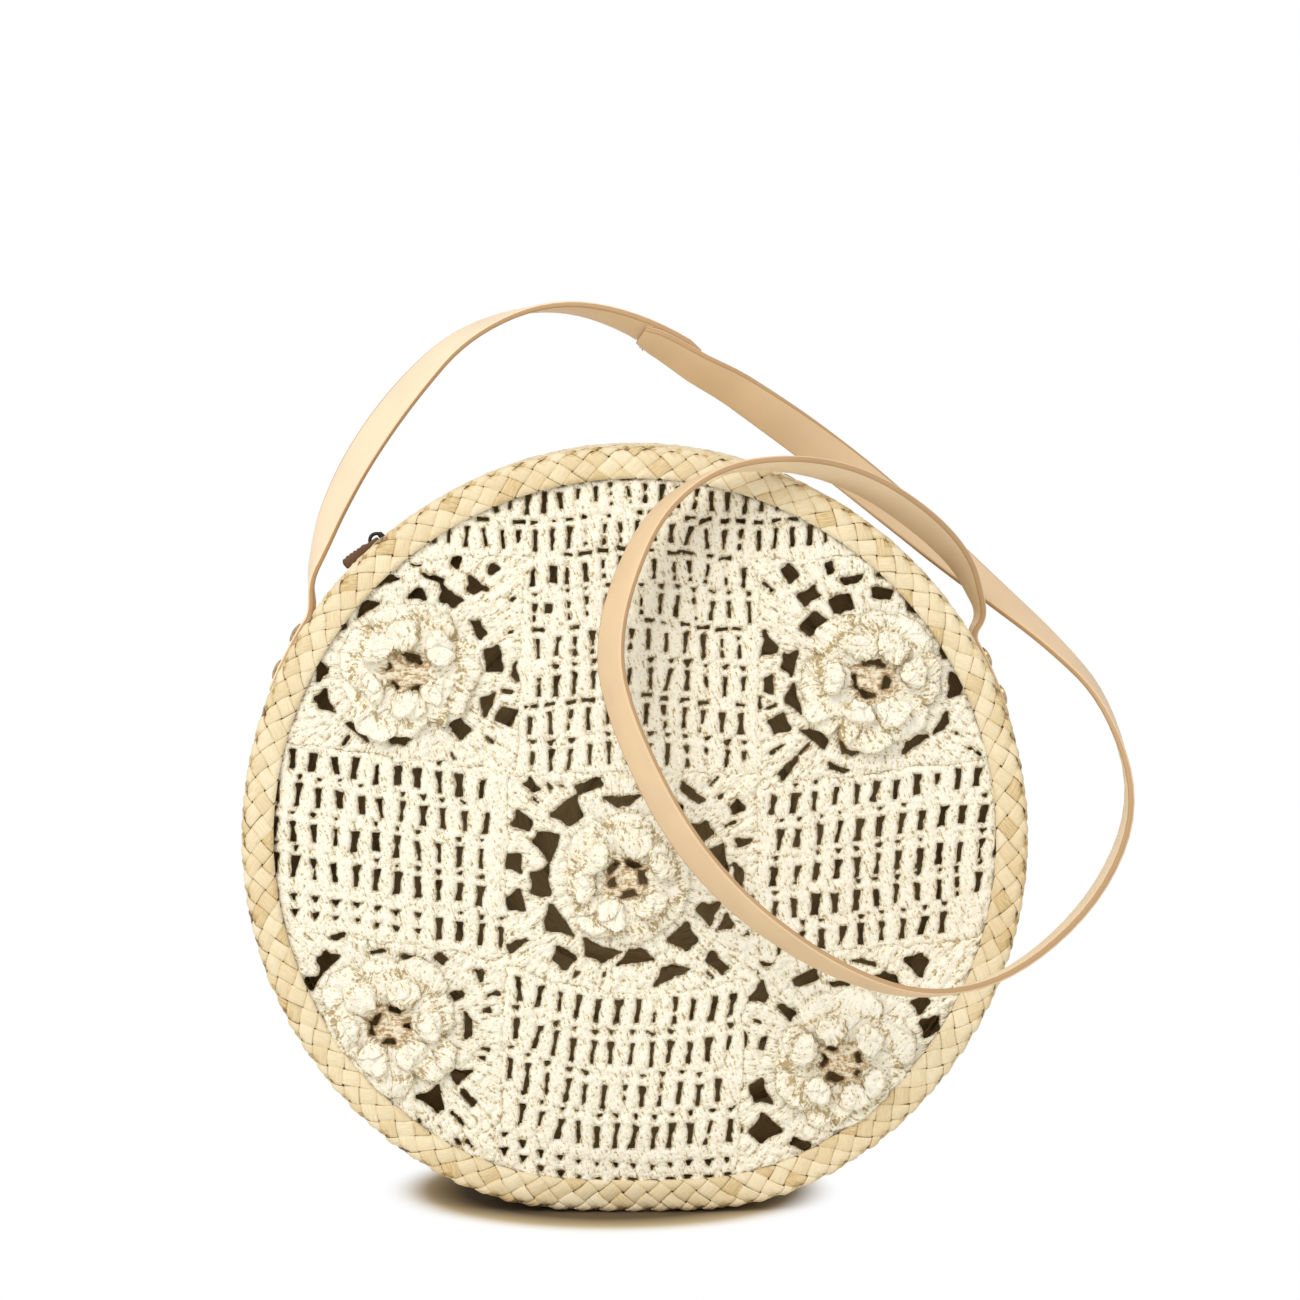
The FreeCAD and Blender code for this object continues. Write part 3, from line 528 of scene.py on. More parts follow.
def worked_sheet(box, step, room, fore, behind, weave, chance):
    """A closed sheet of close-worked yarn on the front. room(spots) is how far spots are from the
    sheet's nearest edge; fore gives how far its front face stands from the middle of the crochet, and a
    painted shade that the faces take as their tone; behind gives how far its back face stands, and the two
    faces meet at the edges; weave is the way along its strands and the way across. The border
    of the sheet's grid is pulled onto its true edge, and cells with one inner point are split there."""
    left, right, low, high = box
    x, z = np.meshgrid(np.arange(left, right, step), np.arange(low, high, step), indexing="ij")
    spots = np.stack([x, z], -1)
    here = room(spots.reshape(-1, 2)).reshape(x.shape)
    keep = without_crumbs(sum(four_corners(here)) > 0)
    around = sum(four_corners(np.pad(keep, 1).astype(int)))
    edge, inner = (around > 0) & (around < 4), around == 4
    for _ in range(EDGE_PULLS):
        at = spots[edge]
        ways = ((PROBE, 0), (0, PROBE))
        slope = np.stack([room(at + way) - room(at - way) for way in ways], -1) / (2 * PROBE)
        move = slope * (room(at) / np.maximum((slope ** 2).sum(1), 0.3))[:, None]
        spots[edge] = at - np.clip(move, -step / 2, step / 2)
    used = edge | inner
    first = np.full(x.shape, -1)
    first[used] = np.arange(used.sum())
    second = first.copy()
    second[inner] = used.sum() + np.arange(inner.sum())
    flat = spots[used]
    clear = np.where(edge[used], 0.0, np.maximum(room(flat), 0.05))
    across, up = flat.T
    base = FRONT_Y - soft_front(across, AXIS_Z + up)
    rise, shade = fore(across, up, clear)
    front = np.stack([across, base - rise, AXIS_Z + up], -1)
    back = np.stack([across, base + behind(clear), AXIS_Z + up], -1)[inner[used]]
    i, j = np.nonzero(keep)
    ring = [np.stack([line, line + a, line + 1, line + 1 - a], -1) for line, a in ((i, 1), (j, 0))]
    lift = inner[tuple(ring)]
    corner = lift.sum(1) == 1
    order = (lift.argmax(1)[:, None] + np.arange(4)) % 4
    quads = [np.take_along_axis(ids[tuple(ring)], order, 1) for ids in (first, second)]
    tone = shade[quads[0]].mean(1)
    tone = np.concatenate([tone[~corner], tone[corner], tone[corner]])
    faces = []
    for sheet, way in zip(quads, (1, -1)):
        for part in (sheet[~corner], sheet[corner][:, :3], sheet[corner][:, [0, 2, 3]]):
            faces += part[:, ::way].tolist()
    laid = np.stack(weave(across, up), -1) / 10
    spots = np.concatenate([laid, laid[inner[used]]]) + chance.uniform(0, 40, 2)
    return np.concatenate([front, back]), faces, spots, np.concatenate([tone, tone])


yarn = yarn_material("crochet_yarn", PALE_CREAM, CREAM, FLECK)
chance = np.random.default_rng(23)
for name, panel in PANELS.items():
    height, gaps, lanes = panel["height"], [], []

    def outline(spots):
        near = np.minimum(UNDER_RIM - np.hypot(*spots.T), panel["inner"](*spots.T))
        for corners in SQUARES.values():
            near = np.minimum(near, SEAM_LAP - inside_seam(spots, corners))
        return near

    for row, (up, (left, right)) in enumerate(zip(panel["rows"], panel["spans"])):
        share = row / (len(panel["rows"]) - 1)
        pitch = panel["pitch"][0] * (1 - share) + panel["pitch"][1] * share
        columns = round((right - left) / pitch)
        start = (left + right) / 2 - columns * pitch / 2 + chance.uniform(-0.15, 0.15) * pitch
        dashed = row in panel.get("dashed", ())
        lanes.append((up, start, pitch))
        for k in range(columns + 1):
            x = start + k * pitch + chance.normal(0, 0.3)
            z = up + float(panel["drift"](np.array(x))) + chance.normal(0, 0.3)
            wide = panel["slot"] * chance.uniform(0.8, 1.35)
            tall = SLOT_TALL * height / ROW_TALL * chance.uniform(0.85, 1.1)
            lean = chance.normal(panel["lean"], 0.35)
            if outline(np.array([[x, z]]))[0] < SLOT_ROOM:
                continue
            if row == 0 and x < panel.get("tight_to", -UNDER_RIM):
                gaps += [np.array([(x + a * chance.uniform(1.4, 2.1), z + 1.1 * b + end) for a, b in NOTCH])
                         for end in TIGHT_ENDS]
                continue
            gaps.append(np.array([(x + a * wide / 2 * chance.uniform(0.8, 1.5) * (1.06 + 0.12 * b) + b * lean,
                                   z + b * tall / 2) for a, b in BOX]))
            if outline(np.array([[x, z + height / 2]]))[0] < MARK_ROOM or chance.uniform() < MARK_MISSED:
                continue
            x, z, wide, tall = x + lean, z + height / 2, chance.uniform(1.3, 2.2), chance.uniform(0.6, 0.95)
            wide *= DASH_WIDE if dashed else panel["mark"]
            slope = chance.normal(0, 0.25)
            gaps.append(np.array([(x + a * wide, z + b * tall + slope * a)
                                  for a, b in (BOX if dashed else NOTCH)]))
    for x, z, wide, tall in panel.get("holes", ()):
        gaps = [gap for gap in gaps if np.abs((gap.mean(0) - (x, z)) / (wide, tall)).max() > 0.9]
        gaps.append(np.array([(x + a * wide / 2, z + b * tall / 2) for a, b in SKEWED]))
    seeds = chance.integers(1, 9999, 3)

    def room(spots):
        return clear_of(gaps, spots, outline(spots)) + ragged(spots, seeds[0])

    def fore(x, z, clear):
        soft = seeded_lumps(x, z, (7, 3.2, 1.6), seeds)
        relief, nearest = np.zeros(len(x)), np.full(len(x), 9.0)
        for up, start, pitch in lanes:
            v = (z - up - panel["drift"](x)) / height
            share = ((x - start) / pitch + 0.05 * soft[0]) % 1.0
            post = rounded(np.minimum(share, 1 - share) * pitch, 2.9)
            seam = rounded(np.maximum((0.5 - np.abs(v)) * height, 0) + 0.3, 1.7)
            head = np.clip(1 - ((v - 0.37 - 0.05 * np.cos(2 * math.pi * share)) / 0.09) ** 2, 0, 1)
            worked = np.maximum((0.3 + 0.7 * post) * (0.4 + 0.6 * seam), 0.95 * head * seam)
            relief = np.where(np.abs(v) < nearest, worked, relief)
            nearest = np.minimum(nearest, np.abs(v))
        whole = rounded(clear, PANEL_ROUND)
        rise = whole * (0.9 + 1.5 * relief + 0.35 * soft[1] + 0.35 * soft[2])
        # Painted shade: the tone darkens in the creases between posts and rows, and towards the edges of
        # slots and seams.
        return rise, -0.2 * (1 - relief) ** 3 - 0.12 * (1 - whole)

    box = (min(span[0] for span in panel["spans"]) - 8, max(span[1] for span in panel["spans"]) + 8,
           panel["rows"][0] - height - 12, panel["rows"][-1] + height + 12)
    part = worked_sheet(box, FINE_STEP, room, fore, lambda clear: SHEET_BEHIND * rounded(clear, PANEL_ROUND),
                        lambda x, z: (z, x + 0.35 * z), chance)
    make_piece(f"{name}_stitches", [part], yarn, [name])

# Crochet front, flower squares: rounds of posts worked out from each flower and joined by rings of
# chain, with chain spaces left open between them. The yarn is worked close, so strands merge.
FLOWERS = {"centre": (-3.5, -15.0), "upper_left": (-92.0, 69.0), "upper_right": (96.0, 65.5),
           "lower_left": (-100.0, -75.4), "lower_right": (84.3, -91.1)}
# Each chain space: degrees round its flower, way out from it, width and height.
CHAIN_SPACES = {
    "centre": [
        (132, 34.7, 12, 9), (157, 36, 9, 10), (184, 35, 11, 9), (212, 35, 11, 7.5), (249, 33, 13, 7),
        (277, 32.8, 12, 6.5), (314, 34.3, 10, 9), (337, 36, 7.5, 8), (10, 37.6, 11, 9.5),
        (31, 36.4, 8.5, 8), (57, 34.3, 9, 5), (93, 31, 12, 4.5), (112, 40.4, 12, 4.5), (136, 53.6, 4, 6),
        (152, 47.6, 6, 8), (172.6, 46, 8, 6.5), (193, 47, 7.5, 9), (212, 52, 3, 9), (233, 42, 9, 7),
        (294, 43, 13, 5.5), (316, 51.4, 5, 9), (335, 45.4, 6, 6), (359, 45.5, 9.5, 4), (16.6, 50, 3, 8),
        (32.6, 53, 5, 5.5), (52, 43, 11, 4)],
    "upper_left": [
        (81.7, 31.3, 6, 4), (58.7, 33.8, 9, 6), (29.8, 33.6, 8.5, 4), (7.8, 35, 9, 6.5),
        (337.8, 34.4, 9, 4.5), (312.4, 31.4, 6, 9), (263, 28.5, 8, 3.5), (230, 31.9, 12, 2),
        (200, 36.5, 8.5, 6), (180, 34.5, 6.5, 5), (145.5, 32, 3, 3), (122.5, 31, 7, 4), (103, 37.9, 9, 2.8),
        (74.5, 38.9, 8, 1.6), (51.5, 43.4, 7, 6), (0, 43.5, 8, 2.6), (335, 43.7, 8, 7), (185, 43.2, 4, 2),
        (85, 45.2, 3.5, 5), (65.8, 48.8, 3.5, 5), (50, 53.4, 4, 5)],
    "upper_right": [
        (111.6, 33, 9, 7), (137.5, 32.9, 10, 7), (169, 34.3, 9, 5.5), (194, 33.3, 8.5, 5), (227, 32.4, 12, 5),
        (252.6, 30.4, 6.5, 4.5), (304, 30.8, 11, 3.5), (328, 34.2, 9, 3.5), (355, 34.5, 9.5, 6),
        (19, 31, 4, 1.6), (60.4, 34, 7, 5), (83, 35, 7.5, 4.5), (102, 41, 8, 3), (127, 42.6, 8, 5.5),
        (163, 44, 7, 8.5), (183, 42, 7, 3.6), (206, 41.9, 7.5, 8), (192, 46.9, 5, 2), (227, 49, 3, 11),
        (249, 39, 8, 2.6), (84, 43, 4, 2.5), (128, 54.7, 5, 7), (111, 48.4, 3.5, 5)],
    "lower_left": [
        (135.3, 36.8, 8, 7), (151.8, 36.5, 5, 5), (100, 30, 7, 1.6), (71, 28, 9, 2), (52, 34, 5, 3),
        (29, 42.4, 4.5, 3), (23, 30, 4, 5), (357, 32, 11, 3), (322.5, 35, 6, 7), (299.5, 37, 7, 11),
        (316, 44, 3, 8), (8, 39.7, 2, 4), (120, 41.9, 8, 3.6)],
    "lower_right": [
        (113, 37.4, 11, 4.5), (91, 32, 9, 2), (61, 39, 9, 4), (76, 42, 10, 1.8), (52, 51, 9, 8),
        (36, 40, 6, 8), (21, 39, 7, 9), (137, 30.5, 4, 8), (167, 33, 7, 2.4), (201, 36, 10, 7.5),
        (222, 42.4, 9, 10), (244, 38.5, 9, 4), (140, 43, 7, 6.5), (168, 41.3, 7, 4), (191.6, 43.7, 8.5, 4.5),
        (212, 53, 6, 7), (126.6, 53.6, 4.5, 7)],
}
ROUNDS = [(16.0, 38.5), (38.5, 48.0), (48.0, 61.0), (61.0, 74.0), (74.0, 88.0)]
ROUND_HEIGHT, NET_POST, NET_BEAD, NET_ROUND = 0.9, 5.6, 5.4, 2.6
FLOWER_HOLE, NET_STEP = 10, 0.9
SLITS, SLIT_RIM, SLIT_ROOM = 110, 148, 3.0
chain_rings = [ROUNDS[0][0]] + [far for near, far in ROUNDS]


def space_ways(middle, space):
    """A chain space's middle, its way across and its way outwards from the flower."""
    turn, reach = math.radians(space[0]), space[1]
    out = np.array([math.cos(turn), math.sin(turn)])
    return np.array(middle) + out * reach, np.array([-out[1], out[0]]), out


def gap_corners(middle, space, chance):
    """The rounded outline of one open chain space: a crooked gap between strands, whose sides bow
    in or out."""
    centre, across, out = space_ways(middle, space)
    taper, bow = chance.uniform(-0.65, 0.65), chance.uniform(0.72, 1.12, 4)
    ring = []
    for k, (a, b) in enumerate(BOX):
        ring.append((a * chance.uniform(0.85, 1.25), b * chance.uniform(0.85, 1.25)))
        ring.append(((0, -bow[0]), (bow[1], 0), (0, bow[2]), (-bow[3], 0))[k])
    spots = np.array([centre + across * a * (1 + taper * b) * space[2] / 2 + out * b * space[3] / 2
                      for a, b in ring])
    after = np.roll(spots, -1, 0)
    return np.stack([0.8 * spots + 0.2 * after, 0.2 * spots + 0.8 * after], 1).reshape(-1, 2)


chance = np.random.default_rng(37)
for square, middle in FLOWERS.items():
    corners = SQUARES[square]
    gaps = [gap_corners(middle, space, chance) for space in CHAIN_SPACES[square]]
    for turn, reach in zip(chance.uniform(0, 360, SLITS), chance.uniform(38, 80, SLITS)):
        slit = gap_corners(middle, (turn, reach, chance.uniform(0.8, 1.4), chance.uniform(2.5, 6.5)), chance)
        spot = slit.mean(0)[None]
        free = min(inside_border(spot, corners)[0], SLIT_RIM - np.hypot(*spot[0]))
        if min([free] + [out_of_gap(spot, gap)[0] for gap in gaps]) > SLIT_ROOM:
            gaps.append(slit)
    seeds = chance.integers(1, 9999, 4)

    def room(spots):
        near = np.minimum(inside_seam(spots, corners) + SEAM_LAP, UNDER_RIM - np.hypot(*spots.T))
        near = np.minimum(near, np.hypot(*(spots - middle).T) - FLOWER_HOLE)
        return clear_of(gaps, spots, near) + ragged(spots, seeds[0])

    def fore(x, z, clear):
        soft = seeded_lumps(x, z, (12, 9, 3.4, 1.7), seeds)
        across, up = x - middle[0], (z - middle[1]) / ROUND_HEIGHT
        radius = np.hypot(across, up) + 1.5 * soft[0]
        turn = np.arctan2(up, across) + 0.05 * soft[1]
        relief = np.zeros(len(x))
        for near, far in ROUNDS:
            posts = round(math.pi * (near + far) / NET_POST)
            share = (turn * posts / (2 * math.pi) + near) % 1.0
            crease = np.minimum(share, 1 - share) * 2 * math.pi * radius / posts
            relief = np.where((radius >= near) & (radius < far), rounded(crease, 2.0) * 0.95, relief)
        for ring in chain_rings:
            beads = round(2 * math.pi * ring / NET_BEAD)
            band = np.sqrt(np.clip(1 - ((radius - ring) / 2.5) ** 2, 0, 1))
            slant = np.abs(np.cos(turn * beads / 2 + 0.45 * (radius - ring)))
            relief = np.where(band > 0, np.maximum(relief * (1 - band), band * (0.45 + 0.55 * slant)), relief)
        whole = rounded(clear, NET_ROUND)
        rise = whole * (0.7 + 2.0 * relief + 0.45 * soft[2] + 0.35 * soft[3])
        # Painted shade: the tone darkens in the creases between strands and towards the edges of the chain
        # spaces.
        return rise, -0.34 * (1 - relief) ** 3 - 0.12 * (1 - whole)

    low, high = np.min(corners, 0), np.max(corners, 0)
    part = worked_sheet((low[0] - 4, high[0] + 4, low[1] - 4, high[1] + 4), NET_STEP, room, fore,
                        lambda clear: SHEET_BEHIND * rounded(clear, NET_ROUND),
                        lambda x, z: (np.hypot(x - middle[0], z - middle[1]),
                                      40 * np.abs(np.arctan2(z - middle[1], x - middle[0]))), chance)
    make_piece(f"net_{square}_yarn", [part], yarn, [f"net_{square}"])

# Flowers: two rings of crocheted petals on each square. The lower petals lie open and overlap; the
# upper ones stand up as plump lobes round an eye of bare foundation chain, sunk behind them and coloured tan
# as painted shade.
EYE_SHADE_TAN, EYE_SHADE_FLECK = (0.66, 0.50, 0.31), (0.42, 0.28, 0.14)
LOWER_PETALS, UPPER_PETALS, CORNER_SPREAD = 8, 6, 2.5
PETAL_TUCK = 6.5
EYE_RADIUS, EYE_BOX, EYE_FORE, EYE_HOLES, EYE_ROUND = 12.5, 14, 2.2, 5, 2.0
# The eye's yarn is coloured tan as painted shade.
shaded_eye_yarn = yarn_material("shaded_eye_yarn", CREAM, EYE_SHADE_TAN, EYE_SHADE_FLECK)


def pillow(middle, towards, near, far, half, low, high, thick, ridges, chance):
    """One petal: a closed, lumpy pad that fans out from near to far, with the ridges of its
    stitches and painted shade on its edges, in its ridge valleys and on its back face. low and high are how
    far its inner and outer ends stand forward. It is tucked in where it would reach over the rim."""
    across, along = 25, 19
    s, t = np.meshgrid(np.linspace(-1, 1, across), np.linspace(-1, 1, along), indexing="ij")
    x, y = s * np.sqrt(1 - t * t / 2), t * np.sqrt(1 - s * s / 2)
    edge = np.sqrt(np.maximum(0, 1 - x * x - y * y))
    waves = sum(np.sin(x * chance.uniform(2, 6) + y * chance.uniform(2, 6) + chance.uniform(0, 6))
                for _ in range(4))
    ridge = np.abs(np.cos(ridges * math.pi * (x + 0.06 * waves) / 2 + chance.uniform(-0.3, 0.3))) ** 0.7 - 0.6
    nubs = np.cos(9 * np.arctan2(y, x) + chance.uniform(0, 6)) * (1 - edge) ** 1.5
    reach = (near + far) / 2 + ((far - near) / 2 + 0.5 * nubs) * y + 0.4 * waves * edge
    aside = (half + 0.5 * nubs) * x * (1 + 0.22 * y) + 0.4 * np.roll(waves, 3, 0) * edge
    knobs = lumps(aside, reach, 2.6, chance) + 0.5 * lumps(aside, reach, 1.5, chance)
    fore = low + (high - low) * (y + 1) / 2 + 0.5 * waves * y
    relief = (0.8 * ridge + 0.2 * waves + 0.34 * knobs) * np.minimum(1, 1.6 * edge)
    top = fore + thick * 0.62 * edge ** 0.6 + relief
    under = fore - thick * 0.38 * edge ** 0.6
    turn = towards + 0.05 * waves * edge
    px = middle[0] + reach * np.cos(turn) - aside * np.sin(turn)
    pz = AXIS_Z + middle[1] + reach * np.sin(turn) + aside * np.cos(turn)
    out = np.hypot(px, pz - AXIS_Z)
    past = PETAL_TUCK * np.tanh((out - FRONT_FREE) / PETAL_TUCK)
    tuck = np.where(out > FRONT_FREE, FRONT_FREE + past, out) / out
    px, pz = px * tuck, AXIS_Z + (pz - AXIS_Z) * tuck
    base = FRONT_Y - soft_front(px, pz)
    inside = (np.abs(s) < 1) & (np.abs(t) < 1)
    verts = np.concatenate([np.stack([px, base - top, pz], -1).reshape(-1, 3),
                            np.stack([px, base - under, pz], -1)[inside]])
    upper = np.arange(across * along).reshape(across, along)
    lower = upper.copy()
    lower[inside] = across * along + np.arange(inside.sum())
    # Painted shade: darker towards the petal's edges and in its ridge valleys, a tan ring on the lower petals
    # where the upper lobes overlap them, and a darker back face.
    shade = (0.02 - 0.24 * (1 - edge) ** 2 - 0.12 * np.clip(-ridge, 0, 1)
             - 0.2 * np.clip(1 - np.abs(reach - 20.5) / 3.0, 0, 1) * (high < 4.5)).reshape(-1)
    faces, tones = [], []
    for sheet, order in ((upper, (0, 1, 3, 2)), (lower, (0, 2, 3, 1))):
        for i in range(across - 1):
            for j in range(along - 1):
                quad = (sheet[i, j], sheet[i + 1, j], sheet[i, j + 1], sheet[i + 1, j + 1])
                ring = [int(quad[k]) for k in order]
                split = i in (0, across - 2) and j in (0, along - 2)
                if split:
                    k = ring.index(int(sheet[max(i, 1), max(j, 1)]))
                    ring = ring[k:] + ring[:k]
                faces += [tuple(ring[:3]), (ring[0], ring[2], ring[3])] if split else [tuple(ring)]
                tones += [shade[upper[i, j]] if sheet is upper else -0.12] * (2 if split else 1)
    spots = np.stack([y * (far - near) / 20, x * half / 9], -1)
    spots = np.concatenate([spots.reshape(-1, 2), spots[inside]]) + chance.uniform(0, 40, 2)
    return verts, faces, spots, np.array(tones) + chance.normal(0.0, 0.025)


chance = np.random.default_rng(53)
for square, middle in FLOWERS.items():
    first = chance.uniform(0, 1)
    lower = []
    for i in range(LOWER_PETALS):
        towards = first + 2 * math.pi * (i + chance.uniform(-0.22, 0.22)) / LOWER_PETALS
        far = chance.uniform(24.5, 29.5) + (0 if square == "centre" else CORNER_SPREAD)
        half = chance.uniform(9.0, 11.5)
        stand = chance.uniform(2.0, 4.4)
        lower.append(pillow(middle, towards, 8.0, far, half, 3.0, stand, 4.6, 5, chance))
    make_piece(f"petals_{square}_lower", lower, yarn, [f"flower_{square}_lower"])
    upper = []
    for i in range(UPPER_PETALS):
        towards = first + 0.3 + 2 * math.pi * (i + chance.uniform(-0.2, 0.2)) / UPPER_PETALS
        near, far = chance.uniform(8.8, 10.2) + 2.0 * math.cos(2 * towards), chance.uniform(19.0, 22.5)
        half = chance.uniform(6.1, 7.6)
        stand = chance.uniform(5.0, 7.6)
        low = stand + chance.uniform(-0.5, 1.0)
        upper.append(pillow(middle, towards, near, far, half, low, stand, 6.2, 3, chance))
    make_piece(f"petals_{square}_upper", upper, yarn, [f"flower_{square}_upper"])
    holes = []
    for k in range(EYE_HOLES):
        space = (360 * (first + k + chance.uniform(-0.35, 0.35)) / EYE_HOLES, chance.uniform(5.5, 8.5),
                 chance.uniform(1.8, 6.0), chance.uniform(1.8, 3.6))
        holes.append(gap_corners(middle, space, chance))
    knots = chance.integers(1, 9999, 2)

    def room(spots):
        return clear_of(holes, spots, EYE_RADIUS - np.hypot(*(spots - middle).T))

    def fore(x, z, clear):
        radius, turn = np.hypot(x - middle[0], z - middle[1]), np.arctan2(z - middle[1], x - middle[0])
        soft, whole = seeded_lumps(x, z, (3.5, 1.8), knots), rounded(clear, EYE_ROUND)
        spoke = np.abs(np.cos(3.5 * turn + first + 0.5 * soft[0])) ** 0.6
        relief = 1.0 + 1.2 * spoke * np.clip(radius / 4, 0.3, 1) + 0.6 * soft[0] + 0.3 * soft[1]
        # Painted shade: the eye darkens between its spokes and towards the edges of its holes.
        return EYE_FORE + whole * relief, -0.2 * (1 - spoke) - 0.2 * (1 - whole)

    box = (middle[0] - EYE_BOX, middle[0] + EYE_BOX, middle[1] - EYE_BOX, middle[1] + EYE_BOX)
    eye = [worked_sheet(box, FINE_STEP, room, fore, lambda clear: -EYE_FORE + 0.5 * rounded(clear, EYE_ROUND),
                        lambda x, z: (x, z), chance)]
    make_piece(f"eye_{square}", eye, shaded_eye_yarn, [])

# Strap: vegetable-tanned leather in two lengths, cut with square edges. They lap and are glued and
# sewn above the bag, and each length's far end lies flat on the side wall.
STRAP_WIDTH, STRAP_THICK, STRAP_GAP, STRAP_LAP = 17.0, 2.6, 0.15, 24.0
TAB_RADIUS, TAB_LEFT, TAB_RIGHT, TAB_ANGLE = 161.45, 146.0, 30.0, 13.0
LAP_FROM, LAP_SEARCH, LAP_STEPS = 12.55, 4, 400
END_NARROW, END_ROUND = 0.22, 3.5
GRAIN_SIDE, CUT_SIDE, FLESH_SIDE = 0.0, 0.5, 1.0
# The strap's way between its two tabs: across, back and up from the bag's middle, and its roll in degrees.
STRAP_ROUTE = [
    (-135, 0, 104, -6), (-131, 0, 117, -24), (-125, 0, 134, -37), (-113, 0, 157, -44),
    (-94, 0, 183, -40), (-70, 0, 207, -20), (-34, 0, 219, 6), (2, 2, 210, 28), (37, 6, 186, 55),
    (65, 10, 167, 75), (89, 13, 149, 95), (111, 14, 131, 112), (132, 14, 113, 128), (150, 13, 98, 145),
    (175, 8, 77, 160), (196, -3, 54, 170), (206, -28, 15, 178), (188, -54, -21, 180),
    (152, -74, -50, 176), (117, -85, -58, 168), (82, -89, -48, 155), (48, -89, -26, 147),
    (26, -87, -4, 143), (8, -83, 23, 143), (-9, -77, 63, 146), (-10, -71, 88, 149), (-2, -67, 114, 155),
    (9, -64, 134, 164), (25, -62, 147, 177), (43, -59, 153, 190), (69, -51, 153, 200),
    (94, -38, 145, 210), (118, -23, 129, 214), (134, -11, 113, 206), (141, -4, 98, 192),
    (144, 0, 88, 182)]
GRAIN, FLESH, CUT_EDGE = (0.82, 0.66, 0.46), (0.74, 0.54, 0.33), (0.48, 0.30, 0.15)


def leather_material(name, grain, flesh, edge, roughness):
    """Plain leather: a fine-pored grain side, a duller flesh side and darker cut edges, which the
    piece's tone attribute tells apart."""
    material, add, coat = shader(name, roughness)
    side = add("ShaderNodeAttribute", [("attribute_name", "tone")]).outputs["Fac"]
    place = add("ShaderNodeTexCoord").outputs["Object"]
    cloud, pores = noise(add, place, 45.0, 3.0), noise(add, place, 1500.0, 2.0)
    plain = ramp_of(add, side, [(0.0, grain), (0.25, grain), (0.3, edge), (0.7, edge), (0.75, flesh),
                                (1.0, flesh)])
    shade = add("ShaderNodeMapRange", [("To Min", 0.88), ("To Max", 1.08)], Value=cloud)
    mixed = add("ShaderNodeMix", [("data_type", "RGBA"), ("blend_type", "MULTIPLY"), ("Factor", 1.0)],
                i6=plain, i7=shade.outputs["Result"])
    coat(mixed.outputs[2], pores, 0.25, 0.0003)
    return material


def tab_poles(first, last):
    """Spots where the strap lies flat on the side wall, from one angle to another."""
    turns = np.radians(np.linspace(first, last, 6))
    return [(TAB_RADIUS * math.cos(a), 0, TAB_RADIUS * math.sin(a)) for a in turns]


strap_poles = np.array([(*spot, 0) for spot in tab_poles(TAB_LEFT + TAB_ANGLE, TAB_LEFT)] + STRAP_ROUTE
                       + [(*spot, 180) for spot in tab_poles(TAB_RIGHT, TAB_RIGHT - TAB_ANGLE)], float)


def strap_run(first, last, count):
    """Middle, width way and thickness way of the strap between two places on its route."""
    spans = len(strap_poles) - 2
    u = np.linspace(first, last, count)
    i = np.clip(u.astype(int), 0, spans - 1)

    def knot(j):
        return np.clip(j - 2, 0, spans)

    def between(a, b, low, high):
        share = ((u - low) / (high - low))[:, None]
        return a * (1 - share) + b * share

    near = between(strap_poles[i], strap_poles[i + 1], knot(i + 1), knot(i + 3))
    far = between(strap_poles[i + 1], strap_poles[i + 2], knot(i + 2), knot(i + 4))
    spot = between(near, far, knot(i + 2), knot(i + 3))
    middle, turn = spot[:, :3], np.radians(spot[:, 3:])
    along = np.gradient(middle, axis=0)
    along /= np.linalg.norm(along, axis=1)[:, None]
    flank = np.stack([-along[:, 2], np.zeros(count), along[:, 0]], -1)
    flank /= np.linalg.norm(flank, axis=1)[:, None]
    wide = np.array([[0.0, -1.0, 0.0]]) * np.cos(turn) + flank * np.sin(turn)
    wide -= along * (wide * along).sum(1)[:, None]
    wide /= np.linalg.norm(wide, axis=1)[:, None]
    return middle + np.array([0, 0, AXIS_Z]), wide, np.cross(along, wide)


def run_along(path):
    """How far along a path each of its spots is."""
    return np.concatenate([[0], np.cumsum(np.linalg.norm(np.diff(path, axis=0), axis=1))])


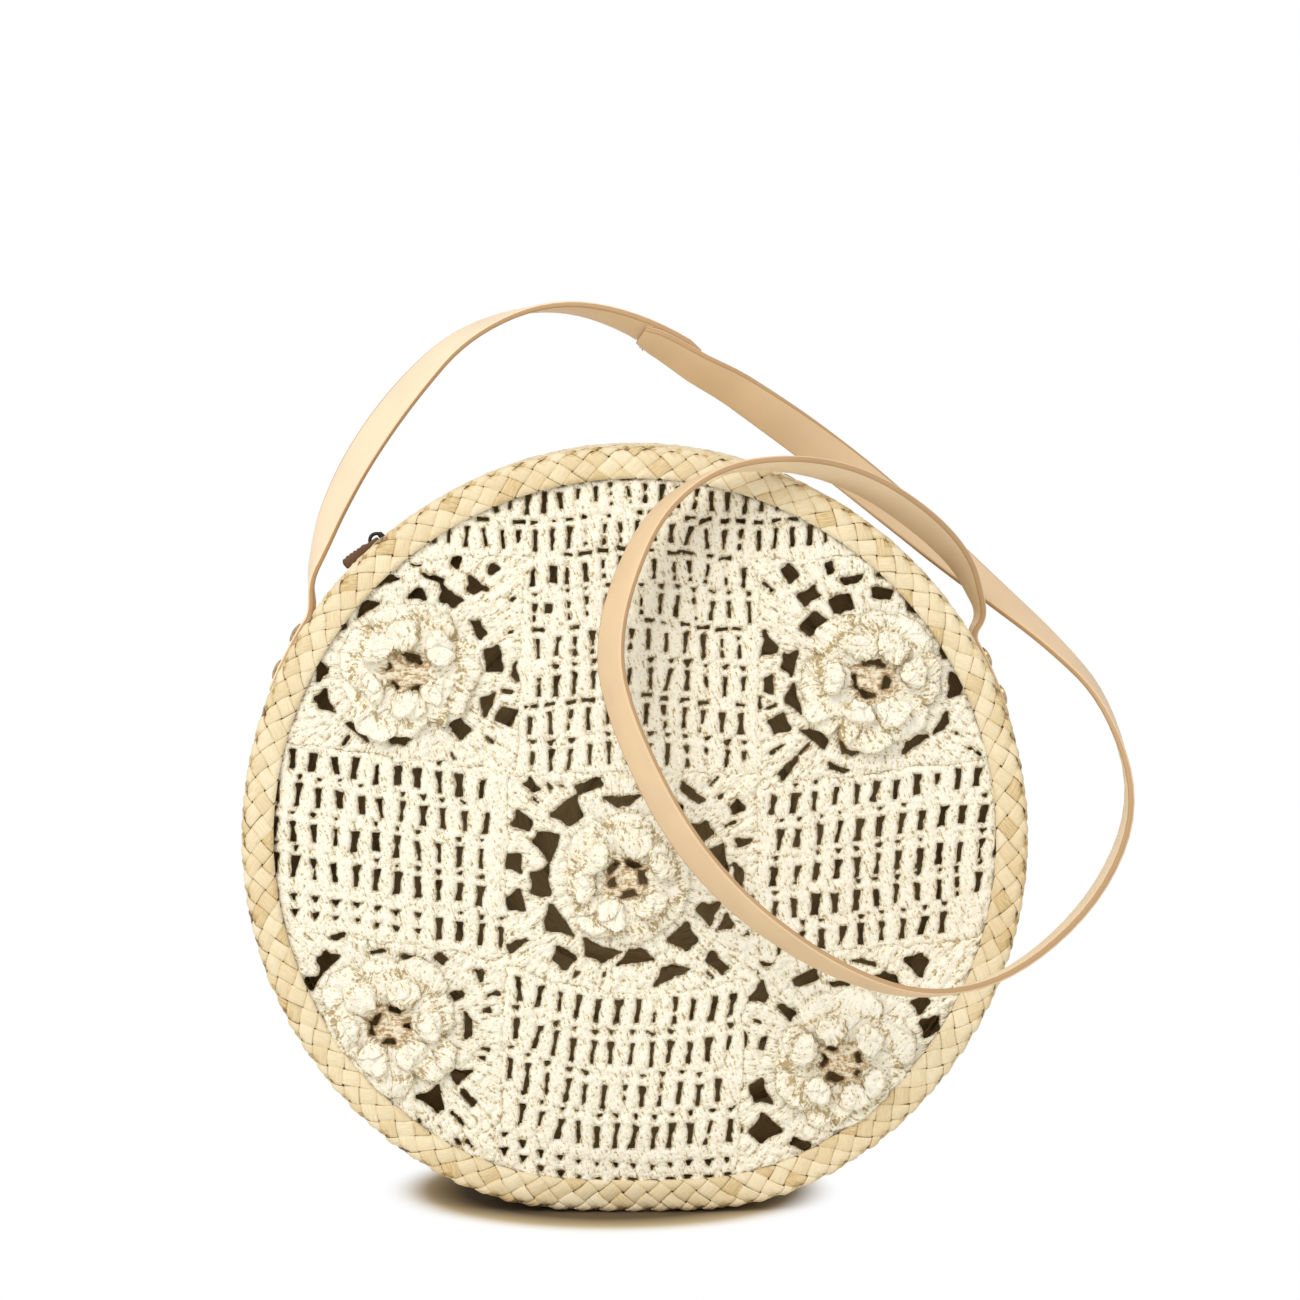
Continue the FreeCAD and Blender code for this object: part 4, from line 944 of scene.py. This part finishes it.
def ribbon(middle, wide, through):
    """A leather ribbon: its section has slightly rounded edges, and its ends rounded corners."""
    half, deep = STRAP_WIDTH / 2, STRAP_THICK / 2
    section = [(-half, -0.5, CUT_SIDE), (-half + 0.25, -0.86, CUT_SIDE), (-half + 0.9, -1, GRAIN_SIDE),
               (half - 0.9, -1, GRAIN_SIDE), (half - 0.25, -0.86, GRAIN_SIDE), (half, -0.5, CUT_SIDE),
               (half, 0.5, CUT_SIDE), (half - 0.25, 0.86, CUT_SIDE), (half - 0.9, 1, FLESH_SIDE),
               (-half + 0.9, 1, FLESH_SIDE), (-half + 0.25, 0.86, FLESH_SIDE), (-half, 0.5, CUT_SIDE)]
    run = run_along(middle)
    to_end = np.minimum(run, run[-1] - run)
    narrow = np.clip(1 - END_NARROW * np.clip(1 - to_end / END_ROUND, 0, 1) ** 2, 0, 1)
    verts = np.stack([middle + wide * (w * narrow)[:, None] + through * d * deep for w, d, _ in section], 1)
    sides, rows = len(section), len(middle)
    parts, spots = [], np.stack(np.broadcast_arrays(run[:, None] / 20, np.arange(sides)[None] / sides), -1)
    for c in range(sides):
        faces = [(2 * r, 2 * r + 1, 2 * r + 3, 2 * r + 2) for r in range(rows - 1)]
        pair = [c, (c + 1) % sides]
        parts.append((verts[:, pair].reshape(-1, 3), faces, spots[:, pair].reshape(-1, 2), section[c][2]))
    for row, order in ((0, range(sides)), (rows - 1, range(sides - 1, -1, -1))):
        parts.append((verts[row], [tuple(order)], spots[row], CUT_SIDE))
    return parts


def close_seams(piece):
    """Joins the edges of a piece's parts, and turns its faces outwards."""
    bpy.ops.object.select_all(action="DESELECT")
    piece.select_set(True)
    bpy.context.view_layer.objects.active = piece
    bpy.ops.object.mode_set(mode="EDIT")
    bpy.ops.mesh.select_all(action="SELECT")
    bpy.ops.mesh.remove_doubles(threshold=0.00002)
    bpy.ops.mesh.normals_make_consistent(inside=False)
    bpy.ops.object.mode_set(mode="OBJECT")
    bpy.ops.object.shade_smooth_by_angle(angle=math.radians(50))
    piece.select_set(False)


strap_leather = leather_material("strap_leather", GRAIN, FLESH, CUT_EDGE, 0.5)
route_end = len(strap_poles) - 2
lap_runs = run_along(strap_run(LAP_FROM, LAP_FROM + LAP_SEARCH, LAP_STEPS)[0])
lap_to = LAP_FROM + LAP_SEARCH * int(np.searchsorted(lap_runs, STRAP_LAP)) / (LAP_STEPS - 1)
arch = make_piece("strap_arch_leather", ribbon(*strap_run(0, lap_to, 90)), strap_leather,
                  ["strap_arch"])
middle, wide, through = strap_run(LAP_FROM, route_end, 200)
share = np.clip((2 * STRAP_LAP - run_along(middle)) / STRAP_LAP, 0, 1)
under = (STRAP_THICK + STRAP_GAP) * share * share * (3 - 2 * share)
loop = make_piece("strap_loop_leather", ribbon(middle + through * under[:, None], wide, through),
                  strap_leather, ["strap_loop"])
for piece in (arch, loop):
    close_seams(piece)

# Strap thread: the lap is sewn across with waxed thread, in a row of stitches near each of its ends.
# The cut ends of the thread are left as a small tuft.
THREAD, THREAD_RADIUS = (0.40, 0.36, 0.28), 0.32
STITCHES, STITCH_FROM, STITCH_STEP, TUFT_ENDS = 4, -6.0, 3.2, 9


def tube_faces(rings, sides):
    """Faces of a tube of rings, closed at both ends."""
    last = (rings - 1) * sides
    faces = []
    for r in range(0, last, sides):
        for c in range(sides):
            after = (c + 1) % sides
            faces.append((r + c, r + after, r + sides + after, r + sides + c))
    return faces + [tuple(range(sides))[::-1], tuple(range(last, last + sides))]


def strand(path, radius, sides=5):
    """A thread along a path in mm, closed at both ends. radius may change on the way."""
    path = np.asarray(path, float)
    radius = np.broadcast_to(np.asarray(radius, float), (len(path),))
    along = np.gradient(path, axis=0)
    along /= np.linalg.norm(along, axis=1)[:, None]
    away = np.where(np.abs(along[:, 1:2]) > 0.9, np.array([[1.0, 0, 0]]), np.array([[0, 1.0, 0]]))
    side = np.cross(along, away)
    side /= np.linalg.norm(side, axis=1)[:, None]
    over = np.cross(side, along)
    turn = 2 * math.pi * np.arange(sides) / sides
    ring = np.cos(turn)[None, :, None] * side[:, None] + np.sin(turn)[None, :, None] * over[:, None]
    verts = (path[:, None] + radius[:, None, None] * ring).reshape(-1, 3)
    across = np.abs(2 * np.arange(sides) / sides - 1)
    spots = np.stack(np.broadcast_arrays(run_along(path)[:, None] / 8, across[None]), -1)
    return verts, tube_faces(len(path), sides), spots.reshape(-1, 2)


thread_fibre = shader("strap_thread", 0.8)[0]
surface_of(thread_fibre).inputs["Base Color"].default_value = (*THREAD, 1)
chance = np.random.default_rng(71)
middle, wide, through = strap_run(LAP_FROM, lap_to, 9)
parts = []
for row in (1, 7):
    for k in range(STITCHES):
        start = STITCH_FROM + k * STITCH_STEP
        path = [middle[row] + wide[row] * (start + step) - through[row] * (STRAP_THICK / 2 + rise)
                for step, rise in ((0, -0.25), (0.5, 0.2), (1.7, 0.2), (2.2, -0.25))]
        parts.append((*strand(path, THREAD_RADIUS), 0.0))
edge = middle[1] - wide[1] * 8.0 + through[1] * (STRAP_THICK / 2 + 0.1)
for k in range(TUFT_ENDS):
    way = np.array([chance.uniform(-0.8, 0.5), chance.uniform(-0.5, 0.3), -chance.uniform(0.2, 0.9)])
    bend = chance.normal(0, 0.4, 3)
    path = [edge + (way * t + bend * t * t) * chance.uniform(2.5, 4.5) for t in (0.0, 0.35, 0.7, 1.0)]
    parts.append((*strand(path, [0.4, 0.38, 0.34, 0.28]), 0.0))
make_piece("strap_thread", parts, thread_fibre, [])

# Rivets and backing: two domed brass rivets pin each strap end through the side wall, to a leather
# patch on the inside.
BRASS, DARK_BRASS = (0.60, 0.44, 0.22), (0.30, 0.20, 0.09)


def metal_material(name, bright, dull, roughness):
    """Metal with a handled finish: brighter where it is rubbed, duller in patches."""
    material, add, coat = shader(name, roughness)
    surface_of(material).inputs["Metallic"].default_value = 1.0
    worn = noise(add, add("ShaderNodeTexCoord").outputs["Object"], 500.0, 4.0)
    coat(ramp_of(add, worn, [(0.35, dull), (0.65, bright)]))
    return material


def finish_node(node, material):
    """Gives a CAD node that already has its real shape its finish."""
    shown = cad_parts[node]
    shown.data.materials.clear()
    shown.data.materials.append(material)


brass = metal_material("rivet_brass", BRASS, DARK_BRASS, 0.35)
for side in ("left", "right"):
    finish_node(f"strap_rivets_{side}", brass)
    finish_node(f"strap_backing_{side}", strap_leather)

# Zip: two woven tapes sewn under the mouth's edges, a toothed coil on each tape and metal stops at
# both ends.
TAPE, TAPE_DARK = (0.44, 0.33, 0.20), (0.30, 0.21, 0.12)
DARK_METAL, BLACK_METAL = (0.075, 0.06, 0.05), (0.02, 0.018, 0.016)
tape, add, coat = shader("zip_tape", 0.9)
twill = add("ShaderNodeTexWave", [("Scale", 700.0), ("Distortion", 0.6), ("bands_direction", "DIAGONAL")],
            Vector=add("ShaderNodeTexCoord").outputs["Object"]).outputs["Fac"]
coat(ramp_of(add, twill, [(0.2, TAPE_DARK), (0.8, TAPE)]), twill, 0.4, 0.0003)
dark_metal = metal_material("zip_metal", DARK_METAL, BLACK_METAL, 0.4)
for side in ("front", "back"):
    finish_node(f"zip_tape_{side}", tape)
    finish_node(f"zip_coil_{side}", brass)
for node in ("zip_top_stops", "zip_bottom_stop"):
    finish_node(node, dark_metal)

# Zip slider: cast in dark metal as two shield plates joined by a web, with a stout bridge on top that
# the pull turns in.
SLIDER_AT, PLATE_TOP, PLATE_THICK, LOW_PLATE = 132.0, 159.9, 1.2, 154.7
SLIDER_LENGTH, SLIDER_NOSE, SLIDER_TAIL = 11.0, 9.6, 7.2
WEB_FROM, WEB_TO, WEB_THICK, WEB_SINK = -4.0, 0.2, 0.5, 0.6
CROWN_FROM, CROWN_TO, CROWN_HALF, CROWN_HIGH, CROWN_SINK = 1.95, 4.7, 1.0, 2.9, 0.4
BRIDGE_AT, BRIDGE_HALF, BRIDGE_HIGH, BRIDGE_BAR, BRIDGE_SINK = 0.6, 3.4, 4.2, 0.65, 0.3


def block(low, high):
    """A new block between two corners in mm."""
    bpy.ops.object.select_all(action="DESELECT")
    size, middle = np.subtract(high, low) * MM, np.add(high, low) * MM / 2
    bpy.ops.mesh.primitive_cube_add(size=1, location=middle, scale=size)
    bpy.ops.object.transform_apply(location=True, rotation=True, scale=True)
    return bpy.context.object


def pick(piece, chosen):
    """Selects the vertices of a piece that a test on their place in mm chooses, in edit mode."""
    bpy.context.view_layer.objects.active = piece
    bpy.ops.object.mode_set(mode="EDIT")
    bpy.ops.mesh.select_mode(type="VERT")
    bpy.ops.mesh.select_all(action="DESELECT")
    bpy.ops.object.mode_set(mode="OBJECT")
    for spot in piece.data.vertices:
        spot.select = bool(chosen(np.array(spot.co) / MM))
    bpy.ops.object.mode_set(mode="EDIT")


def round_off(piece, width, segments=2):
    """Rounds a piece's edges."""
    bevel = piece.modifiers.new("round_off", "BEVEL")
    bevel.width, bevel.segments, bevel.limit_method = width * MM, segments, "ANGLE"
    bpy.context.view_layer.objects.active = piece
    bpy.ops.object.modifier_apply(modifier=bevel.name)


def seat_on_zip(name, parts, material, node):
    """Joins parts that stand on the bag's axis, turns them to the slider's place, and puts the piece on a
    node's body in place of its CAD part.
    """
    bpy.ops.object.select_all(action="DESELECT")
    for part in parts:
        part.select_set(True)
    piece = parts[0]
    bpy.context.view_layer.objects.active = piece
    bpy.ops.object.join()
    piece.rotation_euler = (0, math.radians(90 - SLIDER_AT), 0)
    piece.location = (0, 0, AXIS_Z * MM)
    bpy.ops.object.transform_apply(location=True, rotation=True, scale=True)
    bpy.ops.object.shade_smooth_by_angle(angle=math.radians(40))
    piece.name = piece.data.name = name
    piece.data.materials.append(material)
    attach(piece, node)
    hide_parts(node)
    piece.select_set(False)


half_length, half_nose = SLIDER_LENGTH / 2, SLIDER_NOSE / 2
slider_parts = []
for low in (LOW_PLATE, PLATE_TOP - PLATE_THICK):
    plate = block((-half_length, -half_nose, low), (half_length, half_nose, low + PLATE_THICK))
    pick(plate, lambda spot: spot[0] > 0)
    bpy.ops.transform.resize(value=(1, SLIDER_TAIL / SLIDER_NOSE, 1), center_override=(0, 0, 0))
    bpy.ops.object.mode_set(mode="OBJECT")
    round_off(plate, 0.45)
    slider_parts.append(plate)
slider_parts.append(block((WEB_FROM, -WEB_THICK / 2, LOW_PLATE + WEB_SINK),
                          (WEB_TO, WEB_THICK / 2, PLATE_TOP - WEB_SINK)))
crown = block((CROWN_FROM, -CROWN_HALF, PLATE_TOP - CROWN_SINK),
              (CROWN_TO, CROWN_HALF, PLATE_TOP + CROWN_HIGH))
pick(crown, lambda spot: spot[2] > PLATE_TOP)
bpy.ops.transform.resize(value=(0.75, 0.9, 1), center_override=(3.5 * MM, 0, 0))
bpy.ops.object.mode_set(mode="OBJECT")
round_off(crown, 0.6, 3)
slider_parts.append(crown)
bpy.ops.object.select_all(action="DESELECT")
bridge_foot = (BRIDGE_AT * MM, 0, (PLATE_TOP - BRIDGE_SINK) * MM)
bpy.ops.mesh.primitive_circle_add(vertices=10, radius=BRIDGE_BAR * MM, fill_type="NGON",
                                  location=((BRIDGE_AT - BRIDGE_HALF) * MM, 0, bridge_foot[2]))
bridge = bpy.context.object
bpy.ops.object.transform_apply(location=True, rotation=True, scale=True)
bpy.ops.object.mode_set(mode="EDIT")
bpy.ops.mesh.select_all(action="SELECT")
bpy.ops.mesh.spin(steps=16, angle=math.pi, center=bridge_foot, axis=(0, -1, 0))
bpy.ops.mesh.select_all(action="SELECT")
bpy.ops.transform.resize(value=(1, 1.25, BRIDGE_HIGH / BRIDGE_HALF), center_override=bridge_foot)
bpy.ops.mesh.normals_make_consistent(inside=False)
bpy.ops.object.mode_set(mode="OBJECT")
slider_parts.append(bridge)
seat_on_zip("slider_casting", slider_parts, dark_metal, "zip_slider")

# Zip pull: a thick, ribbed tab of dark brown leather, whose two arms hold the pin that turns in the
# slider's bridge.
PULL_BROWN, PULL_DARK, PULL_EDGE = (0.15, 0.075, 0.035), (0.10, 0.05, 0.025), (0.06, 0.035, 0.02)
PIN_UP, PIN_RADIUS, PIN_INSET = 161.2, 1.0, 0.15
ARM_IN, ARM_OUT, ARM_END, ARM_RISE = 1.45, 2.9, -4.4, 0.6
# Slices of the grip from the arms to its tip: place along it, half width and height above the pin.
GRIP = [(-3.9, 2.9, 1.7), (-5.2, 2.9, 2.4), (-6.6, 2.5, 2.0), (-7.6, 2.2, 2.7), (-8.5, 2.3, 2.1),
        (-9.4, 2.8, 3.0), (-10.3, 3.0, 2.4), (-11.2, 3.4, 3.2), (-12.1, 3.4, 2.6), (-13.0, 3.5, 3.4),
        (-13.9, 3.4, 2.7), (-14.8, 3.5, 3.3), (-15.6, 3.2, 2.7), (-16.3, 2.2, 1.6)]
pull_leather = leather_material("pull_leather", PULL_BROWN, PULL_DARK, PULL_EDGE, 0.75)
pull_parts = []
bpy.ops.object.select_all(action="DESELECT")
bpy.ops.mesh.primitive_cylinder_add(vertices=16, radius=PIN_RADIUS * MM, depth=2 * (ARM_OUT - PIN_INSET) * MM,
                                    location=(BRIDGE_AT * MM, 0, PIN_UP * MM), rotation=(math.pi / 2, 0, 0))
pin = bpy.context.object
bpy.ops.object.transform_apply(location=True, rotation=True, scale=True)
round_off(pin, 0.25)
pull_parts.append(pin)
for way in (-1, 1):
    arm = block((ARM_END, min(way * ARM_IN, way * ARM_OUT), PIN_UP - PIN_RADIUS),
                (BRIDGE_AT, max(way * ARM_IN, way * ARM_OUT), PIN_UP + PIN_RADIUS))
    pick(arm, lambda spot: spot[0] < 0 and spot[2] > PIN_UP)
    bpy.ops.transform.translate(value=(0, 0, ARM_RISE * MM))
    bpy.ops.object.mode_set(mode="OBJECT")
    round_off(arm, 0.4)
    pull_parts.append(arm)
(end, half, top), *stations = GRIP
tip = stations[0][0]
grip = block((tip, -half, PIN_UP - PIN_RADIUS), (end, half, PIN_UP + top))
for x, wide, high in stations:
    pick(grip, lambda spot: spot[0] < tip + 0.005)
    if x < tip:
        bpy.ops.mesh.extrude_region_move(TRANSFORM_OT_translate={"value": ((x - tip) * MM, 0, 0)})
    bpy.ops.transform.resize(value=(1, wide / half, 1), center_override=(0, 0, 0))
    bpy.ops.transform.resize(value=(1, 1, (high + PIN_RADIUS) / (top + PIN_RADIUS)),
                             center_override=(0, 0, (PIN_UP - PIN_RADIUS) * MM))
    bpy.ops.object.mode_set(mode="OBJECT")
    tip, half, top = x, wide, high
round_off(grip, 0.35)
pull_parts.append(grip)
seat_on_zip("pull_tab", pull_parts, pull_leather, "zip_pull")

# Floor, light and camera: a white floor with the bag's shadow on it, deepened by a brown shadow painted round
# where the bag stands, soft light from all round and a broad lamp at the upper left. The camera looks at the
# bag's front from a little above.
WHITE, PAINTED_SOFT_SHADOW, PAINTED_SHADOW = (0.93, 0.92, 0.88), (0.50, 0.40, 0.24), (0.10, 0.065, 0.03)
CAMERA_AT, CAMERA_TILT, CAMERA_TURN = (0, -1.48882, 0.33580), 4.167, 0.2413


def seen_by_eye(add):
    """1 for a ray that comes from the camera, a mirror or glass, and 0 for one that only carries light."""
    path = add("ShaderNodeLightPath").outputs
    seen = add("ShaderNodeMath", [("operation", "MAXIMUM")], i0=path["Is Camera Ray"],
               i1=path["Is Glossy Ray"]).outputs["Value"]
    return add("ShaderNodeMath", [("operation", "MAXIMUM")], i0=seen,
               i1=path["Is Transmission Ray"]).outputs["Value"]


def show(tree, end, shown):
    """Makes a shader the one that a tree's end node shows."""
    tree.links.new(shown.outputs["Shader"], tree.nodes[end].inputs["Surface"])


bpy.ops.mesh.primitive_plane_add(size=8, location=(0, 0, 0))
floor = bpy.context.object
floor.name = "floor"
white, add, coat = shader("white_floor", 0.9)
# Painted shadow: the floor's colour runs from dark brown under the bag to white further out; beyond it the
# floor glows white for the eye.
shadow_oval = add("ShaderNodeMapping", [("Location", (0.11, 0.0, 0.0)), ("Scale", (10.8, 12.2, 1.0))],
           Vector=add("ShaderNodeTexCoord").outputs["Object"]).outputs["Vector"]
far = add("ShaderNodeVectorMath", [("operation", "LENGTH")], i0=shadow_oval).outputs["Value"]
open_floor = add("ShaderNodeMapRange", [("interpolation_type", "SMOOTHSTEP"), ("From Min", 0.8),
                                        ("From Max", 1.05)], Value=far).outputs["Result"]
coat(ramp_of(add, far, [(0.66, PAINTED_SHADOW), (0.84, PAINTED_SOFT_SHADOW), (0.98, WHITE)]))
share = add("ShaderNodeMath", [("operation", "MULTIPLY")], i0=seen_by_eye(add), i1=open_floor)
glow = add("ShaderNodeEmission", [("Strength", 1.0), ("Color", (1, 1, 1, 1))])
show(white.node_tree, "Material Output",
     add("ShaderNodeMixShader", Fac=share.outputs["Value"], i1=surface_of(white).outputs["BSDF"],
         i2=glow.outputs["Emission"]))
floor.data.materials.append(white)
world = bpy.data.worlds.new("studio")
bpy.context.scene.world = world
world.use_nodes = True
add = node_adder(world.node_tree)
soft_light = world.node_tree.nodes["Background"]
soft_light.inputs["Color"].default_value = (1, 1, 1, 1)
soft_light.inputs["Strength"].default_value = 0.8
backdrop = add("ShaderNodeBackground", [("Color", (1, 1, 1, 1))])
show(world.node_tree, "World Output",
     add("ShaderNodeMixShader", Fac=seen_by_eye(add), i1=soft_light.outputs["Background"],
         i2=backdrop.outputs["Background"]))
bpy.ops.object.light_add(type="AREA", location=(-0.7, -1.6, 1.7))
key = bpy.context.object
key.name = "key_light"
key.data.size = 1.2
key.data.energy = 26
key.data.color = (1.0, 0.96, 0.9)
key.rotation_euler = (math.radians(47), 0, math.radians(-22))

bpy.ops.object.camera_add(location=CAMERA_AT)
camera = bpy.context.object
camera.name = "camera"
camera.data.lens = 99.28
camera.data.sensor_width = 36
camera.rotation_euler = (math.radians(90 - CAMERA_TILT), 0, math.radians(-CAMERA_TURN))
bpy.context.scene.camera = camera
bpy.context.scene.view_settings.view_transform = "Standard"
